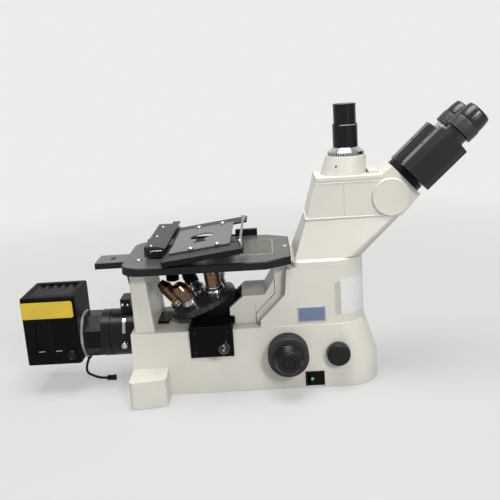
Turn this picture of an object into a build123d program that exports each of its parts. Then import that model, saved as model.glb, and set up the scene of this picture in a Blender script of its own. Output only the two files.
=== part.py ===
from build123d import *
import os
from math import asin, atan, cos, pi, radians, sin, tan

# Inverted tissue-culture microscope with a trinocular head, a mechanical stage and a rear lamphouse.
# X points away from the brightness knob, Y points to the rear, Z points up from the bench.
# The origin lies on the bench under the middle of the stage plate.

os.makedirs("parts", exist_ok=True)

# Clearances used throughout
running_gap = 0.05
sliding_gap = 0.3
fit_gap = 0.3
overrun = 6.0

# Base casting
foot_height = 1.5
foot_radius = 11.0
foot_inset = 14.0
foot_sides = 24
base_wall = 7.0
base_half_width = 67.0
base_rear_y = 120.0
base_front_y = -249.0
base_corner_r = 46.0
base_ridge_z = 42.5
base_top_z = 97.6
base_top_half_width = 62.5
base_top_front_y = -232.0
base_top_corner_r = 44.0
base_plate_thickness = 3.0
outrigger_reach = 114.6
outrigger_length = 53.0
outrigger_splay = 8.2
outrigger_root_z = 45.0
outrigger_corner_r = 6.0

# Stage plate, its insert and what carries it
stage_top_z = 205.0
stage_thickness = 12.0
stage_half_width = 86.0
stage_half_length = 123.5
stage_corner_r = 32.0
stage_chamfer_x = 22.0
stage_chamfer_y = 36.0
stage_edge_bevel = 1.5
stage_seat_r = 54.0
stage_seat_depth = 3.0
stage_hole_r = 50.0
insert_hole_r = 18.0
stage_bolt_slot_length = 12.0
stage_bolt_slot_width = 5.0
stage_bolt_slot_depth = 1.5
stage_bolt_inset = 7.0
stage_bolt_rear_x = -35.0
stage_bolt_rear_inset = 22.0

# Rear pillar and the bare illumination mount behind it
pillar_half_width = 58.5
pillar_rear_y = 114.5
pillar_depth = 30.5
pillar_top_setback = 8.0
pillar_corner_r = 3.0
pillar_wall = 6.0
mount_half_width = 25.0
mount_reach = 47.5
mount_rib = 7.5
mount_top_drop = 5.0
mount_thickness = 9.0
mount_foot = 28.0
mount_slot_length = 14.0
mount_slot_width = 5.0

# Front tower
tower_half_width = 60.0
tower_front_y = -231.0
tower_corner_r = 44.0
tower_rear_y = -116.0
tower_shoulder_y = -112.0
tower_shoulder_rise = 48.0
tower_foot_y = -74.0
tower_foot_rise = 10.0
tower_top_z = 184.0
tower_wall = 9.0
arm_half_width = 42.0
arm_rear_y = -98.0
arm_foot_y = -68.0
arm_foot_rise = 15.4
arm_knee_rise = 45.4
cap_height = 12.0
cap_gap = 2.5
cap_corner_r = 12.0
cap_bevel = 3.0
light_path_y = -213.4
light_path_r = 8.0

# Cream cover over the nosepiece arm
cover_half_width = 40.0
cover_wall = 4.0
cover_tip_y = -28.0
cover_step_y = -35.0
cover_slope_y = -50.0
cover_slot_y = -46.0
cover_slot_half_width = 30.0
cover_step_rise = 13.4
cover_tip_rise = 25.4
cover_top_rise = 44.0
cover_ramp_y = -82.0
cover_ramp_rise = 70.0

# Focus drive
focus_y = -112.0
focus_z = 62.0
gear_module = 1.0
pinion_teeth = 12
pressure_angle = 20.0
tooth_backlash = 0.2
tooth_dedendum = 1.25
rack_addendum = 0.7
rack_teeth = 10
pinion_half_width = 6.0
coarse_shaft_r = 4.5
fine_shaft_r = 2.3
coarse_inner_x = 70.0
coarse_outer_x = 98.0
coarse_knob_r = 29.0
fine_knob_r = 22.0
fine_face_r = 16.0
fine_rim_x = 104.0
fine_face_x = 117.0
guide_rear_y = -78.0
guide_front_y = -101.0
guide_half_width = 33.0
guide_rear_opening = 14.0
guide_light_r = 8.0
guide_light_z = 28.0
slide_front_y = -98.0
slide_thickness = 10.0
slide_half_width = 24.0
slide_bottom_z = 40.0
rack_half_width = 5.0

# Nosepiece: the axis leans to the rear, so that the front objective stands upright
turret_y = 18.0
turret_rise = 37.9
turret_tilt = 21.0
turret_pitch_r = 33.0
turret_rim_r = 51.0
turret_rim_top = 6.9
turret_rim_bottom = 17.0
turret_hub_r = 19.0
turret_hub_height = 5.0
turret_stud_r = 8.0
turret_stud_head_r = 13.0
turret_stud_head = 4.0
turret_stud_length = 26.0
turret_spot_r = 16.4
turret_spot_depth = 0.8
turret_park = 38.0
objective_count = 5
carrier_bottom_rise = 9.4
carrier_arm = 11.0
carrier_front_y = -43.0
carrier_wedge_y = -34.0
carrier_rear_y = 40.0
carrier_step = 5.0
carrier_light_r = 9.0

# Objectives: collar, barrel, shoulder and nose, radii and heights above the seat
collar_r_shares = (1.0, 0.82, 1.0, 0.94, 0.9)
objective_collar_r = 15.6
objective_collar_height = 11.0
objective_barrel_r = (12.0, 12.6, 10.4, 11.4, 14.0)
objective_barrel_height = (35.0, 34.0, 36.0, 31.0, 30.0)
objective_nose_r = (7.5, 8.0, 6.0, 9.0, 12.4)
objective_height = (44.0, 41.0, 46.0, 38.0, 34.0)
collar_flats = 24
thread_r = 10.0
thread_length = 5.0
thread_bore_length = 40.0

# Filter block housing and its slider
filter_half_length = 32.0
filter_bottom_z = 58.0
filter_top_rise = 6.4
filter_near_x = -68.0
filter_far_x = 48.0
filter_port_r = 15.0
filter_wall = 5.0
filter_light_r = 10.0
filter_stem_y = -20.5
filter_stem_z = 85.5
filter_stem_r = 3.0
filter_ball_r = 8.0
filter_ball_x = -105.0
filter_travel = 28.0
cassette_near_x = -41.0
cassette_far_x = 13.0
cassette_half_length = 25.0
light_z = 82.0

# Switch and brightness knob
switch_y = -150.5
switch_z = 15.6
switch_half_length = 12.5
switch_half_height = 9.5
switch_flange = 1.5
switch_depth = 15.0
switch_wall = 1.8
rocker_tilt = 7.0
rocker_hinge_depth = 5.0
rocker_half_length = 9.1
rocker_back_half_length = 7.0
rocker_back = 1.5
rocker_dip = 1.4
rocker_proud = 8.5
rocker_pin_r = 1.2
rocker_pin_length = 1.2
dimmer_y = -186.0
dimmer_z = 55.0
dimmer_r = 17.7
dimmer_face_r = 16.5
dimmer_length = 13.0
dimmer_stand_off = 2.0
dimmer_shaft_r = 3.0
dimmer_pot_r = 7.0
dimmer_pot_length = 12.0
dimmer_pot_gap = 0.5
dimmer_post = 3.0

# Electrics and optics inside the base
transformer_x = (20.0, 50.0)
transformer_y = (40.0, 95.0)
transformer_height = 40.0
board_x = (-50.0, -16.0)
board_thickness = 2.0
inlet_x = 34.0
inlet_z = 27.0
inlet_half_width = 14.0
inlet_half_height = 10.0
inlet_depth = 22.0
inlet_flange = 2.0
inlet_rim = 1.5
inlet_wall = 3.0
inlet_hollow = 12.0
inlet_pin = 1.5
inlet_pin_length = 9.0
inlet_pin_pitch = 7.0
mirror_half_width = 11.0
mirror_half_length = 11.0
mirror_lip = 5.0
mirror_height = 34.0
lens_stand_y = -58.0
lens_stand_depth = 12.0
lens_stand_half_width = 16.0
lens_stand_height = 38.0

# Head
neck_inset = 3.0
neck_half_width = 55.0
neck_corner_r = 26.0
neck_depth = 102.0
neck_height = 53.0
neck_wall = 7.0
neck_core_half_width = 28.0
head_half_width = 36.0
head_rear_y = -149.0
head_front_y = -289.0
head_corner_r = 14.0
head_top_rise = 62.0
head_rear_slope = 16.0
head_rear_rise = 56.0
head_crown_y = -262.0
head_corner_cut = 4.5
head_light_run = 24.0
head_wall = 5.0
head_floor = 8.0
head_cavity_front_y = -262.0
head_cavity_rear_y = -178.0
port_y = -213.4
port_base_r = 34.0
port_top_r = 29.5
port_height = 27.0
clamp_r = 26.8
clamp_height = 6.5
clamp_top_r = 18.5
clamp_cone_height = 5.0
camera_r = 18.2
camera_upper_r = 16.4
camera_step = 34.0
camera_height = 62.0
camera_thread_r = 12.7
camera_thread_depth = 8.0
camera_bore_r = 9.0
spigot_r = 14.0
head_disc_r = 28.0
head_disc_y = -273.0
head_disc_rise = 28.3
head_disc_height = 1.6
head_taper_y = -282.0
head_step_y = -243.2
head_step_depth = 13.8
head_step_height = 4.5
head_step_half_width = 26.0
prism_half = 13.0
prism_height = 26.0
selector_r = 3.0
selector_knob_r = 7.0
selector_knob_length = 10.0
selector_rise = 24.0

# Binocular: axis leans forward, the tubes swing about it
bino_slope = 42.8
bino_y = -296.0
bino_rise = 106.5
flange_r = 30.0
flange_height = 10.0
hinge_r = 7.0
hinge_spigot_r = 12.0
hinge_head_r = 9.5
hinge_head = 3.0
hinge_bore_r = 4.5
hinge_socket = 14.0
lug_r = 13.0
lug_height = 9.0
tube_offset = 33.0
tube_drop = 5.0
prism_box_gap = 0.5
prism_box_r = 25.0
prism_box_height = 74.5
prism_box_facet_x = 8.0
prism_box_facet_y = 10.0
prism_box_core = 10.5
light_tube_r = 9.0
barrel_r = 16.5
barrel_socket = 14.0
diopter_stand_off = 12.0
diopter_neck_r = 15.0
diopter_r = 21.0
diopter_length = 19.0
eyepiece_r = 20.0
eyepiece_end_r = 17.7
eyepiece_length = 22.0
eyepiece_lip = 4.0
eyepiece_lens_r = 11.0

# Mechanical stage
rail_stand_off = 4.0
rail_width = 8.0
rail_web_share = 0.54
rail_front_y = -74.0
rail_rear_y = 108.0
rail_height = 13.0
rail_rise = 1.0
rail_stop_length = 36.0
rail_stop_rise = 9.0
rail_stop_lip = 2.0
carriage_reach = 28.0
carriage_front_y = 56.0
carriage_length = 40.0
carriage_wall = 3.0
beam_bottom_rise = 3.0
beam_height = 16.0
beam_near_x = -37.0
beam_lap = 2.0
beam_front_y = 60.0
beam_depth = 32.0
beam_flat = 20.0
beam_chamfer_drop = 3.0
beam_tail = 32.0
beam_tail_depth = 12.0
beam_groove_rise = 4.0
beam_groove_height = 6.0
beam_groove_depth = 5.0
holder_tilt = 7.0
holder_rise = 7.5
holder_centre_x = 15.0
holder_half_width = 114.0
holder_arm_width = 44.0
holder_arm_length = 119.0
holder_arm_thickness = 2.5
holder_corner_r = 4.0
shoe_half_length = 20.0
holder_bar_depth = 12.0
plate_lap = 5.0
plate_front = 98.0
plate_rear = 8.0
plate_thickness = 2.0
keyhole_r = 18.0
keyhole_y = -50.0
keyhole_x = 22.0
keyhole_end_x = -18.0
keyhole_neck = 13.0
keyhole_tail_width = 19.0
keyhole_tail_length = 8.0
clip_y_shares = (0.34, 0.67)
clip_head_r = 4.2
clip_head_height = 3.0
clip_inset = 3.0
rod_r = 1.8
rod_post_r = 2.8
rod_post_height = 7.0
rod_inset = 5.0
rod_side_inset = 22.0
knob_shaft_r = 3.0
y_shaft_r = 5.0
knob_inset = 10.0
y_knob_r = 14.0
y_knob_drop = 18.0
y_knob_length = 20.0
x_knob_r = 11.0
x_knob_length = 24.0
knob_gap = 1.0

# Lamp adapter, filter tray and lamphouse
adapter_r = 36.5
adapter_bore_r = 11.0
adapter_snout_r = 13.0
adapter_length = 52.0
adapter_snout_length = 5.0
adapter_groove_y = 158.0
adapter_groove = 1.6
adapter_groove_depth = 2.0
block_length = 31.5
block_apothem = 33.0
block_sides = 8
tray_y = 133.0
tray_thickness = 12.0
tray_half_width = 14.0
tray_bottom_z = 60.0
tray_top_z = 139.0
tray_grip = 15.0
tray_grip_half_width = 17.0
tray_window_r = 11.0
screw_y = 135.0
screw_z = 74.0
screw_knob_x = -36.5
screw_knob_r = 4.8
screw_knob_length = 9.0
screw_shaft_r = 2.0
screw_shaft_length = 7.0
lamp_half_width = 44.0
lamp_length = 83.0
lamp_bottom_z = 50.0
lamp_top_z = 157.0
lamp_wall = 4.0
lamp_edge_r = 5.0
lamp_rim_r = 3.0
vent_half_width = 32.0
vent_margin = 9.5
vent_lap = 4.0
vent_teeth = 5
vent_plate = 3.0
vent_tooth_height = 6.0
arc_y_share = 0.5
arc_base_r = 14.0
arc_base_height = 14.0
arc_neck_r = 5.0
arc_bulb_r = 9.0
arc_height = 78.0
arc_tip_r = 2.0
reflector_r = 20.0
reflector_thickness = 7.0
reflector_dish = 4.0
collector_r = 24.0
collector_depth = 9.0
lamp_knob_drop = 12.2
lamp_knob_z = 65.7
lamp_knob_r = 7.0
lamp_knob_length = 8.0
lamp_knob_shaft_r = 2.5
lamp_groove_width = 12.5
lamp_groove_height = 46.0
lamp_groove_depth = 2.0
lamp_groove_rise = 23.5
lamp_groove_y_shares = (0.386, 0.705)

# Lamp lead: it hangs out of the adapter and lies on the bench, with a short connector at its end
lead_r = 2.0
gland_r = 3.8
gland_tip_r = 2.7
gland_length = 8.0
connector_r = 4.6
connector_length = 14.0
connector_ribs = 4
connector_rib_depth = 0.7
lead_bend_share = 0.45
lead_points = [
    (0.0, 203.8, 39.7),
    (0.0, 214.5, 17.5),
    (0.0, 196.0, 7.2),
    (0.0, 185.5, 4.6),
    (0.0, 178.0, 4.6),
]


def nose_outline(height, half_width, rear_y, front_y, corner_r):
    """Plan outline with a straight rear and rounded front corners."""
    with BuildSketch(Plane.XY.offset(height)) as outline:
        with Locations((0, (rear_y + front_y) / 2)):
            Rectangle(2 * half_width, rear_y - front_y)
        fillet(vertices().group_by(Axis.Y)[0], radius=corner_r)
    return outline.sketch


def pillar_outline(height, depth, inset):
    """Plan outline of the rear pillar at one height, drawn in from its faces by an inset."""
    with BuildSketch(Plane.XY.offset(height)) as outline:
        with Locations((0, pillar_rear_y - depth / 2)):
            Rectangle(2 * (pillar_half_width - inset), depth - 2 * inset)
        fillet(vertices(), radius=pillar_corner_r)
    return outline.sketch


def side_profile(points, half_width, mode=Mode.ADD):
    """Profile drawn in Y and Z, made equally thick to both sides of the middle plane."""
    with BuildSketch(Plane.YZ) as profile:
        with BuildLine():
            Polyline(*points, close=True)
        make_face()
    extrude(profile.sketch, amount=half_width, both=True, mode=mode)


def block(x_range, y_range, z_range, mode=Mode.ADD):
    """Rectangular block between two corners."""
    with BuildSketch(Plane.XY.offset(z_range[0])) as footprint:
        with Locations(((x_range[0] + x_range[1]) / 2, (y_range[0] + y_range[1]) / 2)):
            Rectangle(x_range[1] - x_range[0], y_range[1] - y_range[0])
    extrude(footprint.sketch, amount=z_range[1] - z_range[0], mode=mode)


def turned(plane, profile, mode=Mode.ADD):
    """Profile of radii and heights, turned about the normal of a plane."""
    with BuildSketch(Plane(origin=plane.origin, x_dir=plane.x_dir, z_dir=-plane.y_dir)) as section:
        with BuildLine():
            Polyline(*profile, close=True)
        make_face()
    revolve(section.sketch, axis=Axis(plane.origin, plane.z_dir), mode=mode)


def rod(plane, radius, start, end, mode=Mode.ADD):
    """Round bar or bore along the normal of a plane."""
    with BuildSketch(plane.offset(start)) as disc:
        Circle(radius)
    extrude(disc.sketch, amount=end - start, mode=mode)


def along_x(y, z):
    """Plane whose normal is the X direction."""
    return Plane(origin=(0, y, z), x_dir=(0, 1, 0), z_dir=(1, 0, 0))


def along_y(x, z):
    """Plane whose normal is the Y direction."""
    return Plane(origin=(x, 0, z), x_dir=(-1, 0, 0), z_dir=(0, 1, 0))


def finish(sub_part, label):
    """Name a finished piece and write it."""
    sub_part.part.label = label
    export_step(sub_part.part, "parts/" + label + ".step")


stage_bottom_z = stage_top_z - stage_thickness
cap_rear_y = -stage_half_length - cap_gap
neck_rear_y = cap_rear_y - neck_inset
cavity_top_z = base_top_z - base_wall
cavity_half_width = base_top_half_width - base_wall
cavity_rear_y = base_rear_y - base_wall
cavity_front_y = base_top_front_y + base_wall
cavity_corner_r = base_top_corner_r - base_wall
plate_top_z = foot_height + base_plate_thickness
pinion_pitch_r = gear_module * pinion_teeth / 2
optical_y = turret_y - turret_pitch_r * cos(radians(turret_tilt))
carrier_bottom_z = base_top_z + carrier_bottom_rise
filter_top_z = base_top_z + filter_top_rise
optical_axis = Plane(origin=(0, optical_y, 0))
light_path = Plane(origin=(0, light_path_y, 0))
tilt_sin = sin(radians(turret_tilt))
tilt_cos = cos(radians(turret_tilt))
turret_axis = Plane(
    origin=(0, turret_y, base_top_z + turret_rise),
    x_dir=(-1, 0, 0),
    z_dir=(0, tilt_sin, tilt_cos),
)
bino_z = stage_top_z - stage_thickness + bino_rise
bino_axis = Plane(
    origin=(0, bino_y, bino_z),
    x_dir=(1, 0, 0),
    z_dir=(0, -cos(radians(bino_slope)), sin(radians(bino_slope))),
)
holder_plane = Plane(
    origin=(0, beam_front_y, stage_top_z + holder_rise),
    x_dir=(1, 0, 0),
    z_dir=(0, sin(radians(holder_tilt)), cos(radians(holder_tilt))),
)


def seat_plane(index):
    """Plane of one objective seat on the sloping top of the nosepiece."""
    angle = radians(turret_park + index * 360 / objective_count)
    outward = turret_axis.x_dir * sin(angle) + turret_axis.y_dir * cos(angle)
    sideways = turret_axis.x_dir * cos(angle) - turret_axis.y_dir * sin(angle)
    return Plane(
        origin=turret_axis.origin + outward * turret_pitch_r,
        x_dir=sideways,
        z_dir=turret_axis.z_dir * tilt_cos + outward * tilt_sin,
    )


with BuildPart() as base_casting:
    with BuildSketch(Plane.XY.offset(foot_height)):
        with BuildLine():
            Polyline(
                (cavity_half_width, base_rear_y),
                (outrigger_reach, base_rear_y),
                (outrigger_reach - outrigger_splay, base_rear_y - outrigger_length),
                (cavity_half_width, base_rear_y - outrigger_length),
                close=True,
            )
        make_face()
        fillet(vertices().group_by(Axis.X)[1:], radius=outrigger_corner_r)
    extrude(amount=outrigger_root_z - foot_height)
    with BuildSketch(Plane.XZ.offset(-base_rear_y - overrun)):
        with BuildLine():
            Polyline(
                (cavity_half_width, outrigger_root_z),
                (outrigger_reach, base_ridge_z),
                (outrigger_reach + overrun, base_ridge_z),
                (outrigger_reach + overrun, outrigger_root_z + overrun),
                (cavity_half_width, outrigger_root_z + overrun),
                close=True,
            )
        make_face()
    extrude(amount=outrigger_length + 2 * overrun, mode=Mode.SUBTRACT)
    mirror(about=Plane.YZ)
    lower_outline = nose_outline(foot_height, base_half_width, base_rear_y, base_front_y, base_corner_r)
    extrude(lower_outline, amount=base_ridge_z - foot_height)
    ridge_outline = nose_outline(base_ridge_z, base_half_width, base_rear_y, base_front_y, base_corner_r)
    top_outline = nose_outline(base_top_z, base_top_half_width, base_rear_y, base_top_front_y, base_top_corner_r)
    loft([ridge_outline, top_outline], ruled=True)
    cavity_outline = nose_outline(foot_height, cavity_half_width, cavity_rear_y, cavity_front_y, cavity_corner_r)
    extrude(cavity_outline, amount=cavity_top_z - foot_height, mode=Mode.SUBTRACT)
    block(
        (filter_near_x - overrun, filter_far_x + fit_gap),
        (-filter_half_length - fit_gap, filter_half_length + fit_gap),
        (filter_bottom_z, base_top_z + overrun),
        mode=Mode.SUBTRACT,
    )
    block(
        (-slide_half_width - fit_gap, slide_half_width + fit_gap),
        (slide_front_y - fit_gap, slide_front_y + slide_thickness + fit_gap),
        (cavity_top_z - overrun, base_top_z + overrun),
        mode=Mode.SUBTRACT,
    )
    rod(along_x(focus_y, focus_z), coarse_shaft_r + running_gap, -outrigger_reach, outrigger_reach,
        mode=Mode.SUBTRACT)
    rod(along_x(dimmer_y, dimmer_z), dimmer_shaft_r + running_gap, -base_half_width - overrun,
        -cavity_half_width + overrun, mode=Mode.SUBTRACT)
    rod(along_y(0, light_z), adapter_snout_r + fit_gap, cavity_rear_y - overrun, base_rear_y + overrun,
        mode=Mode.SUBTRACT)
    block(
        (-base_half_width - overrun, -cavity_half_width + overrun),
        (switch_y - switch_half_length, switch_y + switch_half_length),
        (foot_height - overrun, switch_z + switch_half_height),
        mode=Mode.SUBTRACT,
    )
    block(
        (inlet_x - inlet_half_width, inlet_x + inlet_half_width),
        (cavity_rear_y - overrun, base_rear_y + overrun),
        (inlet_z - inlet_half_height, inlet_z + inlet_half_height),
        mode=Mode.SUBTRACT,
    )
    rod(light_path, light_path_r, cavity_top_z - overrun, base_top_z + overrun, mode=Mode.SUBTRACT)
finish(base_casting, "base_casting")

with BuildPart() as base_plate:
    plate_outline = nose_outline(foot_height, cavity_half_width - fit_gap, cavity_rear_y - fit_gap,
                                 cavity_front_y + fit_gap, cavity_corner_r)
    extrude(plate_outline, amount=base_plate_thickness)
finish(base_plate, "base_plate")

foot_x = base_half_width - foot_inset
foot_places = [
    (0, 0),
    (foot_x, base_front_y + base_corner_r),
    (-foot_x, base_front_y + base_corner_r),
    (outrigger_reach - outrigger_splay - foot_inset, base_rear_y - outrigger_length / 2),
    (-outrigger_reach + outrigger_splay + foot_inset, base_rear_y - outrigger_length / 2),
]
with BuildPart() as rubber_feet:
    with BuildSketch(Plane.XY):
        with Locations(*foot_places):
            RegularPolygon(radius=foot_radius, side_count=foot_sides)
    extrude(amount=foot_height)
finish(rubber_feet, "rubber_feet")

with BuildPart() as rear_pillar:
    pillar_foot = pillar_outline(base_top_z, pillar_depth, 0)
    pillar_head = pillar_outline(stage_bottom_z, pillar_depth - pillar_top_setback, 0)
    loft([pillar_foot, pillar_head], ruled=True)
    hollow_foot = pillar_outline(base_top_z, pillar_depth, pillar_wall)
    hollow_head = pillar_outline(stage_bottom_z - pillar_wall, pillar_depth - pillar_top_setback, pillar_wall)
    loft([hollow_foot, hollow_head], ruled=True, mode=Mode.SUBTRACT)
finish(rear_pillar, "rear_pillar")

mount_top_z = stage_top_z - mount_top_drop
with BuildPart() as illuminator_mount:
    side_profile([
        (pillar_rear_y, stage_bottom_z),
        (stage_half_length, stage_bottom_z),
        (stage_half_length, mount_top_z),
        (stage_half_length + mount_reach, mount_top_z),
        (stage_half_length + mount_reach, mount_top_z - mount_thickness),
        (pillar_rear_y + mount_rib + mount_rib / 2, mount_top_z - mount_thickness),
        (pillar_rear_y + mount_rib, stage_bottom_z - mount_foot),
        (pillar_rear_y, stage_bottom_z - mount_foot),
    ], mount_half_width)
    with BuildSketch(Plane.XY.offset(mount_top_z)):
        with Locations((0, stage_half_length + mount_reach / 2)):
            SlotOverall(mount_slot_length, mount_slot_width)
    extrude(amount=-mount_thickness, mode=Mode.SUBTRACT)
finish(illuminator_mount, "illuminator_mount")

with BuildPart() as front_tower:
    side_profile([
        (tower_foot_y, base_top_z),
        (tower_foot_y, base_top_z + tower_foot_rise),
        (tower_shoulder_y, base_top_z + tower_shoulder_rise),
        (tower_rear_y, tower_top_z),
        (tower_front_y, tower_top_z),
        (tower_front_y, base_top_z),
    ], tower_half_width)
    tower_outline = nose_outline(base_top_z, tower_half_width, tower_foot_y, tower_front_y, tower_corner_r)
    extrude(tower_outline, amount=tower_top_z - base_top_z, mode=Mode.INTERSECT)
    side_profile([
        (arm_foot_y, base_top_z),
        (arm_foot_y, base_top_z + arm_foot_rise),
        (arm_rear_y, base_top_z + arm_knee_rise),
        (arm_rear_y, stage_bottom_z),
        (cap_rear_y, stage_bottom_z),
        (cap_rear_y, base_top_z),
    ], arm_half_width)
    block(
        (-slide_half_width - fit_gap, slide_half_width + fit_gap),
        (slide_front_y - fit_gap, arm_foot_y + overrun),
        (base_top_z, base_top_z + arm_knee_rise),
        mode=Mode.SUBTRACT,
    )
    hollow_outline = nose_outline(base_top_z, tower_half_width - tower_wall, cap_rear_y,
                                  tower_front_y + tower_wall, tower_corner_r - tower_wall)
    extrude(hollow_outline, amount=tower_top_z - base_top_z - tower_wall, mode=Mode.SUBTRACT)
    rod(light_path, light_path_r, base_top_z, tower_top_z + overrun, mode=Mode.SUBTRACT)
finish(front_tower, "front_tower")

cap_top_z = tower_top_z + cap_height
with BuildPart() as tower_cap:
    with BuildSketch(Plane.XY.offset(tower_top_z)):
        with Locations((0, (cap_rear_y + tower_front_y) / 2)):
            Rectangle(2 * tower_half_width, cap_rear_y - tower_front_y)
        fillet(vertices().group_by(Axis.Y)[0], radius=tower_corner_r)
        fillet(vertices().group_by(Axis.Y)[-1], radius=cap_corner_r)
    extrude(amount=cap_height)
    chamfer(edges().group_by(Axis.Z)[-1], length=cap_bevel)
    rod(light_path, light_path_r, tower_top_z - overrun, cap_top_z + overrun, mode=Mode.SUBTRACT)
finish(tower_cap, "tower_cap")

with BuildPart() as arm_cover:
    side_profile([
        (cover_step_y, base_top_z),
        (cover_step_y, base_top_z + cover_step_rise),
        (cover_tip_y, base_top_z + cover_step_rise),
        (cover_tip_y, base_top_z + cover_tip_rise),
        (cover_slope_y, base_top_z + cover_top_rise),
        (cover_ramp_y, base_top_z + cover_top_rise),
        (arm_rear_y + fit_gap, base_top_z + cover_ramp_rise),
        (arm_rear_y + fit_gap, base_top_z + arm_knee_rise),
        (arm_foot_y + fit_gap, base_top_z + arm_foot_rise),
        (arm_foot_y + fit_gap, base_top_z),
    ], cover_half_width)
    side_profile([
        (cover_tip_y + overrun, base_top_z - overrun),
        (cover_tip_y + overrun, base_top_z + cover_tip_rise - cover_wall),
        (cover_tip_y, base_top_z + cover_tip_rise - cover_wall),
        (cover_slope_y - cover_wall / 2, base_top_z + cover_top_rise - cover_wall),
        (arm_rear_y, base_top_z + cover_top_rise - cover_wall),
        (arm_rear_y, base_top_z - overrun),
    ], cover_half_width - cover_wall, mode=Mode.SUBTRACT)
    block(
        (-cover_slot_half_width, cover_slot_half_width),
        (cover_slot_y, cover_tip_y + overrun),
        (base_top_z, base_top_z + cover_ramp_rise),
        mode=Mode.SUBTRACT,
    )
finish(arm_cover, "arm_cover")

with BuildPart() as stage_plate:
    with BuildSketch(Plane.XY.offset(stage_bottom_z)):
        with BuildLine():
            Polyline(
                (stage_half_width, stage_half_length),
                (-stage_half_width, stage_half_length),
                (-stage_half_width, -stage_half_length + stage_chamfer_y),
                (-stage_half_width + stage_chamfer_x, -stage_half_length),
                (stage_half_width - stage_chamfer_x, -stage_half_length),
                (stage_half_width, -stage_half_length + stage_chamfer_y),
                close=True,
            )
        make_face()
        fillet(vertices().group_by(Axis.Y)[-1], radius=stage_corner_r)
    extrude(amount=stage_thickness)
    chamfer(edges().group_by(Axis.Z)[-1], length=stage_edge_bevel)
    rod(optical_axis, stage_hole_r, stage_bottom_z - overrun, stage_top_z + overrun, mode=Mode.SUBTRACT)
    rod(optical_axis, stage_seat_r, stage_top_z - stage_seat_depth, stage_top_z + overrun, mode=Mode.SUBTRACT)
    with BuildSketch(Plane.XY.offset(stage_top_z)):
        with Locations((0, -stage_half_length + stage_bolt_inset)):
            SlotOverall(stage_bolt_slot_length, stage_bolt_slot_width)
        with Locations((stage_bolt_rear_x, stage_half_length - stage_bolt_rear_inset)):
            SlotOverall(stage_bolt_slot_length, stage_bolt_slot_width, rotation=90)
    extrude(amount=-stage_bolt_slot_depth, mode=Mode.SUBTRACT)
finish(stage_plate, "stage_plate")

with BuildPart() as stage_insert:
    rod(optical_axis, stage_seat_r - fit_gap, stage_top_z - stage_seat_depth, stage_top_z)
    rod(optical_axis, insert_hole_r, stage_top_z - stage_seat_depth, stage_top_z, mode=Mode.SUBTRACT)
finish(stage_insert, "stage_insert")

with BuildPart() as filter_box:
    block((filter_near_x, filter_far_x), (-filter_half_length, filter_half_length), (filter_bottom_z, filter_top_z))
    block(
        (filter_near_x + filter_wall, filter_far_x - filter_wall),
        (-filter_half_length + filter_wall, filter_half_length - filter_wall),
        (filter_bottom_z + filter_wall, filter_top_z - filter_wall),
        mode=Mode.SUBTRACT,
    )
    rod(optical_axis, filter_light_r, filter_bottom_z, filter_top_z, mode=Mode.SUBTRACT)
    rod(along_y(0, light_z), filter_port_r, 0, filter_half_length, mode=Mode.SUBTRACT)
    rod(along_x(filter_stem_y, filter_stem_z), filter_stem_r + running_gap, filter_near_x, cassette_near_x,
        mode=Mode.SUBTRACT)
finish(filter_box, "filter_box")

with BuildPart() as filter_slider:
    block(
        (cassette_near_x, cassette_far_x),
        (-cassette_half_length, cassette_half_length),
        (filter_bottom_z + filter_wall + fit_gap, filter_top_z - filter_wall - fit_gap),
    )
    for window_x in (0, -filter_travel):
        rod(Plane(origin=(window_x, optical_y, 0)), filter_light_r, filter_bottom_z, filter_top_z,
            mode=Mode.SUBTRACT)
        rod(along_y(window_x, light_z), filter_light_r, optical_y, filter_half_length, mode=Mode.SUBTRACT)
    rod(along_x(filter_stem_y, filter_stem_z), filter_stem_r, filter_ball_x, cassette_near_x)
    with Locations(along_x(filter_stem_y, filter_stem_z).offset(filter_ball_x)):
        Sphere(radius=filter_ball_r)
finish(filter_slider, "filter_slider")

socket_half_length = switch_half_length - switch_wall
socket_half_height = switch_half_height - switch_wall
rocker_hinge_x = -base_half_width + rocker_hinge_depth
with BuildPart() as switch_bezel:
    block(
        (-base_half_width - switch_flange, -base_half_width),
        (switch_y - switch_half_length - switch_flange, switch_y + switch_half_length + switch_flange),
        (switch_z - switch_half_height - switch_flange, switch_z + switch_half_height + switch_flange),
    )
    block(
        (-base_half_width, -base_half_width + switch_depth),
        (switch_y - switch_half_length, switch_y + switch_half_length),
        (switch_z - switch_half_height, switch_z + switch_half_height),
    )
    block(
        (-base_half_width - switch_flange, -base_half_width + switch_depth - switch_wall),
        (switch_y - socket_half_length, switch_y + socket_half_length),
        (switch_z - socket_half_height, switch_z + socket_half_height),
        mode=Mode.SUBTRACT,
    )
    rod(Plane(origin=(rocker_hinge_x, switch_y, switch_z)), rocker_pin_r + running_gap,
        -switch_half_height, switch_half_height, mode=Mode.SUBTRACT)
finish(switch_bezel, "switch_bezel")

rocker_half_height = socket_half_height - fit_gap
rocker_x_dir = (cos(radians(rocker_tilt)), sin(radians(rocker_tilt)), 0)
rocker_plane = Plane(origin=(rocker_hinge_x, switch_y, switch_z), x_dir=rocker_x_dir)
with BuildPart() as power_rocker:
    with BuildSketch(rocker_plane.offset(-rocker_half_height)):
        with BuildLine():
            Polyline(
                (-rocker_proud, -rocker_half_length),
                (-rocker_proud + rocker_dip, 0),
                (-rocker_proud, rocker_half_length),
                (rocker_back, rocker_back_half_length),
                (rocker_back, -rocker_back_half_length),
                close=True,
            )
        make_face()
    extrude(amount=2 * rocker_half_height)
    rod(rocker_plane, rocker_pin_r, -rocker_half_height - rocker_pin_length, rocker_half_height + rocker_pin_length)
finish(power_rocker, "power_rocker")

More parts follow.
